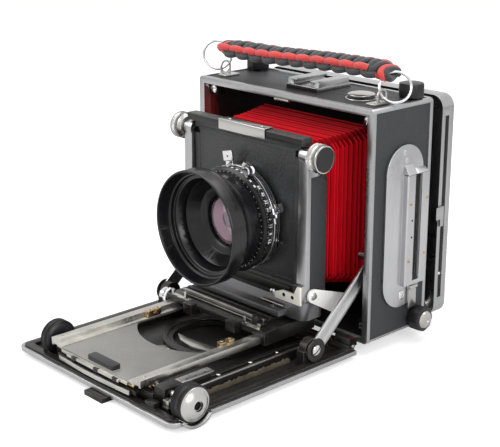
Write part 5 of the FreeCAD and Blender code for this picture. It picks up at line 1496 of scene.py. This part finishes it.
class OBJECT_OT_field_camera_strap(FieldCameraOperator, bpy.types.Operator):
    """Weave the two-coloured cord strap and hang it from its rings and lugs"""
    bl_idname = "object.field_camera_strap"
    bl_label = "Strap"

    def build(self, context):
        sizes = settings(context)[0]
        thick, knots = sizes.cord_radius, sizes.knots
        first, last = 15.0, 148.0
        pitch = (last - first) / knots
        edge, top = 9.4, 3.6
        over, under = [], []
        for i in range(2 * knots):
            s = first + (i + 0.25) * pitch / 2
            side = 1 if i % 2 else -1
            for step, across, height in ((-0.10, -0.92, 0.1), (-0.07, -0.62, 0.95), (0.0, 0.0, 1.08),
                                         (0.07, 0.62, 0.95), (0.10, 0.92, 0.1)):
                over.append(strap_point(s + step * pitch, side * across * edge, height * top))
                under.append(strap_point(s + step * pitch, -side * across * edge, -height * top))
        black = [strand("strap_weave_over", over, thick, FINISH["cord_black"])]
        red = [strand("strap_weave_under", under, thick, FINISH["cord_red"])]
        for side in (-1, 1):
            upper, lower = [], []
            for k in range(knots):
                s = first + (k + (0.25 if side > 0 else -0.25)) * pitch
                for step, across, height in ((-0.50, 0.56, -0.3), (-0.42, 0.98, 0.40), (-0.20, 1.14, 0.72),
                                             (0.20, 1.14, 0.72), (0.42, 0.98, 0.40)):
                    upper.append(strap_point(s + step * pitch, side * across * edge, height * top))
                    lower.append(strap_point(s + (step + 0.5) * pitch, side * across * edge,
                                             -height * top * 1.1))
            red.append(strand("strap_edge_upper", upper, thick * 0.92, FINISH["cord_red"]))
            black.append(strand("strap_edge_lower", lower, thick * 0.92, FINISH["cord_black"]))
        for across in (-4.6, 0.0, 4.6):
            line = [strap_point(s, across * min(1.0, 0.35 + s / 16, 0.35 + (153 - s) / 12),
                                -0.2) for s in range(3, 153, 6)]
            black.append(strand("strap_core", line, thick, FINISH["cord_black"]))
        for place, half, tall, colour in ((first - 1.5, 9.2, 3.4, "cord_black"),
                                          (first - 6.2, 7.2, 3.2, "cord_black"),
                                          (first - 3.6, 9.4, 3.2, "cord_red"),
                                          (last + 0.5, 9.0, 3.4, "cord_red"),
                                          (last + 3.0, 7.0, 3.0, "cord_black")):
            loop = [strap_point(place + 1.2 * math.sin(math.radians(2 * a)), math.cos(math.radians(a)) * half,
                                math.sin(math.radians(a)) * tall) for a in range(0, 361, 24)]
            cord = strand("strap_whipping", loop, thick * 0.95, FINISH[colour])
            (red if colour == "cord_red" else black).append(cord)
        on(joined("strap_dark_cords", black), "handle", "cord", "strap")
        on(joined("strap_red_cords", red), "handle", "cord")

        refined("strap_lugs", 0.3, "camera_body", "bright_steel", FINISH["steel"], segments=3)
        refined("strap_rings", 0.0, body_of("strap_rings"), "bright_steel", FINISH["chrome"], angle=60)


def body_of(node):
    bodies = frame["record"]["behaviour"]["bodies"]
    return next(body for body, nodes in bodies.items() if node in nodes)


# ---------------------------------------------------------------- plain pieces
class OBJECT_OT_field_camera_rest(FieldCameraOperator, bpy.types.Operator):
    """Finish the pieces that keep the shape of their mechanism"""
    bl_idname = "object.field_camera_rest"
    bl_label = "Plain pieces"

    def build(self, context):
        shown = {name for name, node in NODES.items() if not node.hide_render}
        kinds = {"grained_black": "leather", "satin_silver": "silver", "bright_steel": "steel",
                 "chrome": "chrome", "black_metal": "black", "board_black": "board", "lens_black": "lens",
                 "brass": "brass", "glass": "glass", "ground": "ground", "red_cloth": "cloth",
                 "cord": "cord_black"}
        record = frame["record"]
        slots = {part["node"]: part["material_slot"] for part in record["subparts"]}
        bodies = {node: body for body, nodes in record["behaviour"]["bodies"].items() for node in nodes}
        for name in sorted(shown):
            refined(name, 0.3, bodies[name], slots[name], FINISH[kinds[slots[name]]])


# ---------------------------------------------------------------- stage
def view_world(strength):
    world = bpy.data.worlds.new("studio_surround")
    bpy.context.scene.world = world
    world.use_nodes = True
    tree = world.node_tree
    tree.nodes.clear()
    rays = wired(tree, "ShaderNodeLightPath")
    mirror = maths(tree, "MAXIMUM", rays.outputs["Is Glossy Ray"], rays.outputs["Is Transmission Ray"])
    seen = maths(tree, "MAXIMUM", rays.outputs["Is Camera Ray"], mirror)
    soft = wired(tree, "ShaderNodeBackground", {"Color": (1.0, 1.0, 1.0, 1.0), "Strength": strength})
    white = wired(tree, "ShaderNodeBackground", {"Color": (1.0, 1.0, 1.0, 1.0), "Strength": 1.0})
    mix = wired(tree, "ShaderNodeMixShader", {0: seen, 1: soft.outputs[0], 2: white.outputs[0]})
    out = wired(tree, "ShaderNodeOutputWorld")
    tree.links.new(mix.outputs[0], out.inputs["Surface"])


def floor_material():
    """A pale matt floor that keeps the camera's shadow and reads as white paper where it is lit."""
    material = bpy.data.materials.new("paper_floor")
    material.use_nodes = True
    tree = material.node_tree
    tree.nodes.clear()
    tint = tinted(tree, noise(tree, stretched(tree, (1, 1, 1)), 3.0), (0.83, 0.83, 0.83), (0.85, 0.85, 0.85))
    matt = wired(tree, "ShaderNodeBsdfDiffuse", {"Color": tint})
    rays = wired(tree, "ShaderNodeLightPath")
    seen = maths(tree, "MULTIPLY", rays.outputs["Is Camera Ray"], 0.50)
    glow = wired(tree, "ShaderNodeEmission", {"Color": (1.0, 1.0, 1.0, 1.0), "Strength": seen})
    both = wired(tree, "ShaderNodeAddShader", {0: matt.outputs[0], 1: glow.outputs[0]})
    out = wired(tree, "ShaderNodeOutputMaterial")
    tree.links.new(both.outputs[0], out.inputs["Surface"])
    return material


def lamp(name, place, aim, size, power):
    clear_selection()
    bpy.ops.object.light_add(type="AREA", location=place)
    light = bpy.context.object
    light.name = name
    light.data.shape = "RECTANGLE"
    light.data.size, light.data.size_y = size
    light.data.energy = power
    light.rotation_euler = (Vector(aim) - Vector(place)).to_track_quat("-Z", "Y").to_euler()
    return light


SUBJECT_MIDDLE = (0.0, -0.05, 0.08)
VIEW_PLACE = (0.5812, -0.6013, 0.3334)
VIEW_RIGHT, VIEW_BACK = (0.6838, 0.7297, 0.0), (0.6964, -0.6526, 0.2985)
VIEW_SHIFT = (-0.005, -0.0046)


class OBJECT_OT_field_camera_stage(FieldCameraOperator, bpy.types.Operator):
    """Add the floor, the lamps and the view camera"""
    bl_idname = "object.field_camera_stage"
    bl_label = "Stage"

    def build(self, context):
        stage = settings(context)[2]
        clear_selection()
        bpy.ops.mesh.primitive_grid_add(x_subdivisions=8, y_subdivisions=8, size=12, location=(0, 0, 0))
        floor = settle("paper_floor")
        coat(floor, floor_material())
        view_world(stage.sky)
        lamp("key_lamp", (-0.75, -0.95, 0.95), SUBJECT_MIDDLE, (0.9, 0.9), stage.key_power)
        lamp("fill_lamp", (1.25, -0.35, 0.65), SUBJECT_MIDDLE, (0.8, 0.8), stage.fill_power)
        lamp("top_lamp", (0.05, 0.15, 1.25), SUBJECT_MIDDLE, (1.0, 1.0), stage.top_power)
        back = Vector(VIEW_BACK).normalized()
        up = back.cross(Vector(VIEW_RIGHT)).normalized()
        right = up.cross(back).normalized()
        clear_selection()
        bpy.ops.object.camera_add(location=(0, 0, 0))
        view = context.object
        view.name = "view_camera"
        turn = Matrix((right, up, back)).transposed().to_4x4()
        view.matrix_world = Matrix.Translation(VIEW_PLACE) @ turn
        view.data.lens = stage.focal_length
        view.data.sensor_width = 36
        view.data.sensor_fit = "HORIZONTAL"
        view.data.shift_x, view.data.shift_y = VIEW_SHIFT
        view.data.clip_start = 0.01
        view.data.dof.use_dof = False
        context.scene.camera = view
        context.scene.view_settings.view_transform = "Standard"


# ---------------------------------------------------------------- registration
class VIEW3D_PT_field_camera(bpy.types.Panel):
    """Lists the camera's settings and the groups of pieces"""
    bl_label = "Field Camera"
    bl_idname = "VIEW3D_PT_field_camera"
    bl_space_type = "VIEW_3D"
    bl_region_type = "UI"
    bl_category = "Field Camera"

    def draw(self, context):
        column = self.layout.column(align=True)
        for group in settings(context):
            for name in group.__annotations__:
                column.prop(group, name)
            column.separator()
        for operator in OPERATORS:
            column.operator(operator.bl_idname)


GROUPS_OF_SETTINGS = (("field_camera_sizes", FieldCameraSizes), ("field_camera_colours", FieldCameraColours),
                      ("field_camera_stage", FieldCameraStage))
OPERATORS = (OBJECT_OT_field_camera_casing, OBJECT_OT_field_camera_side, OBJECT_OT_field_camera_back,
             OBJECT_OT_field_camera_bed, OBJECT_OT_field_camera_knobs, OBJECT_OT_field_camera_track,
             OBJECT_OT_field_camera_standard, OBJECT_OT_field_camera_shutter, OBJECT_OT_field_camera_bellows,
             OBJECT_OT_field_camera_strap, OBJECT_OT_field_camera_rest, OBJECT_OT_field_camera_stage)


def register():
    for name, group in GROUPS_OF_SETTINGS:
        bpy.utils.register_class(group)
        setattr(bpy.types.Scene, name, bpy.props.PointerProperty(type=group))
    for operator in OPERATORS:
        bpy.utils.register_class(operator)
    bpy.utils.register_class(VIEW3D_PT_field_camera)


def unregister():
    bpy.utils.unregister_class(VIEW3D_PT_field_camera)
    for operator in reversed(OPERATORS):
        bpy.utils.unregister_class(operator)
    for name, group in reversed(GROUPS_OF_SETTINGS):
        delattr(bpy.types.Scene, name)
        bpy.utils.unregister_class(group)


def main():
    register()
    for operator in OPERATORS:
        family, name = operator.bl_idname.split(".")
        getattr(getattr(bpy.ops, family), name)()
    clear_selection()


if __name__ == "__main__":
    main()
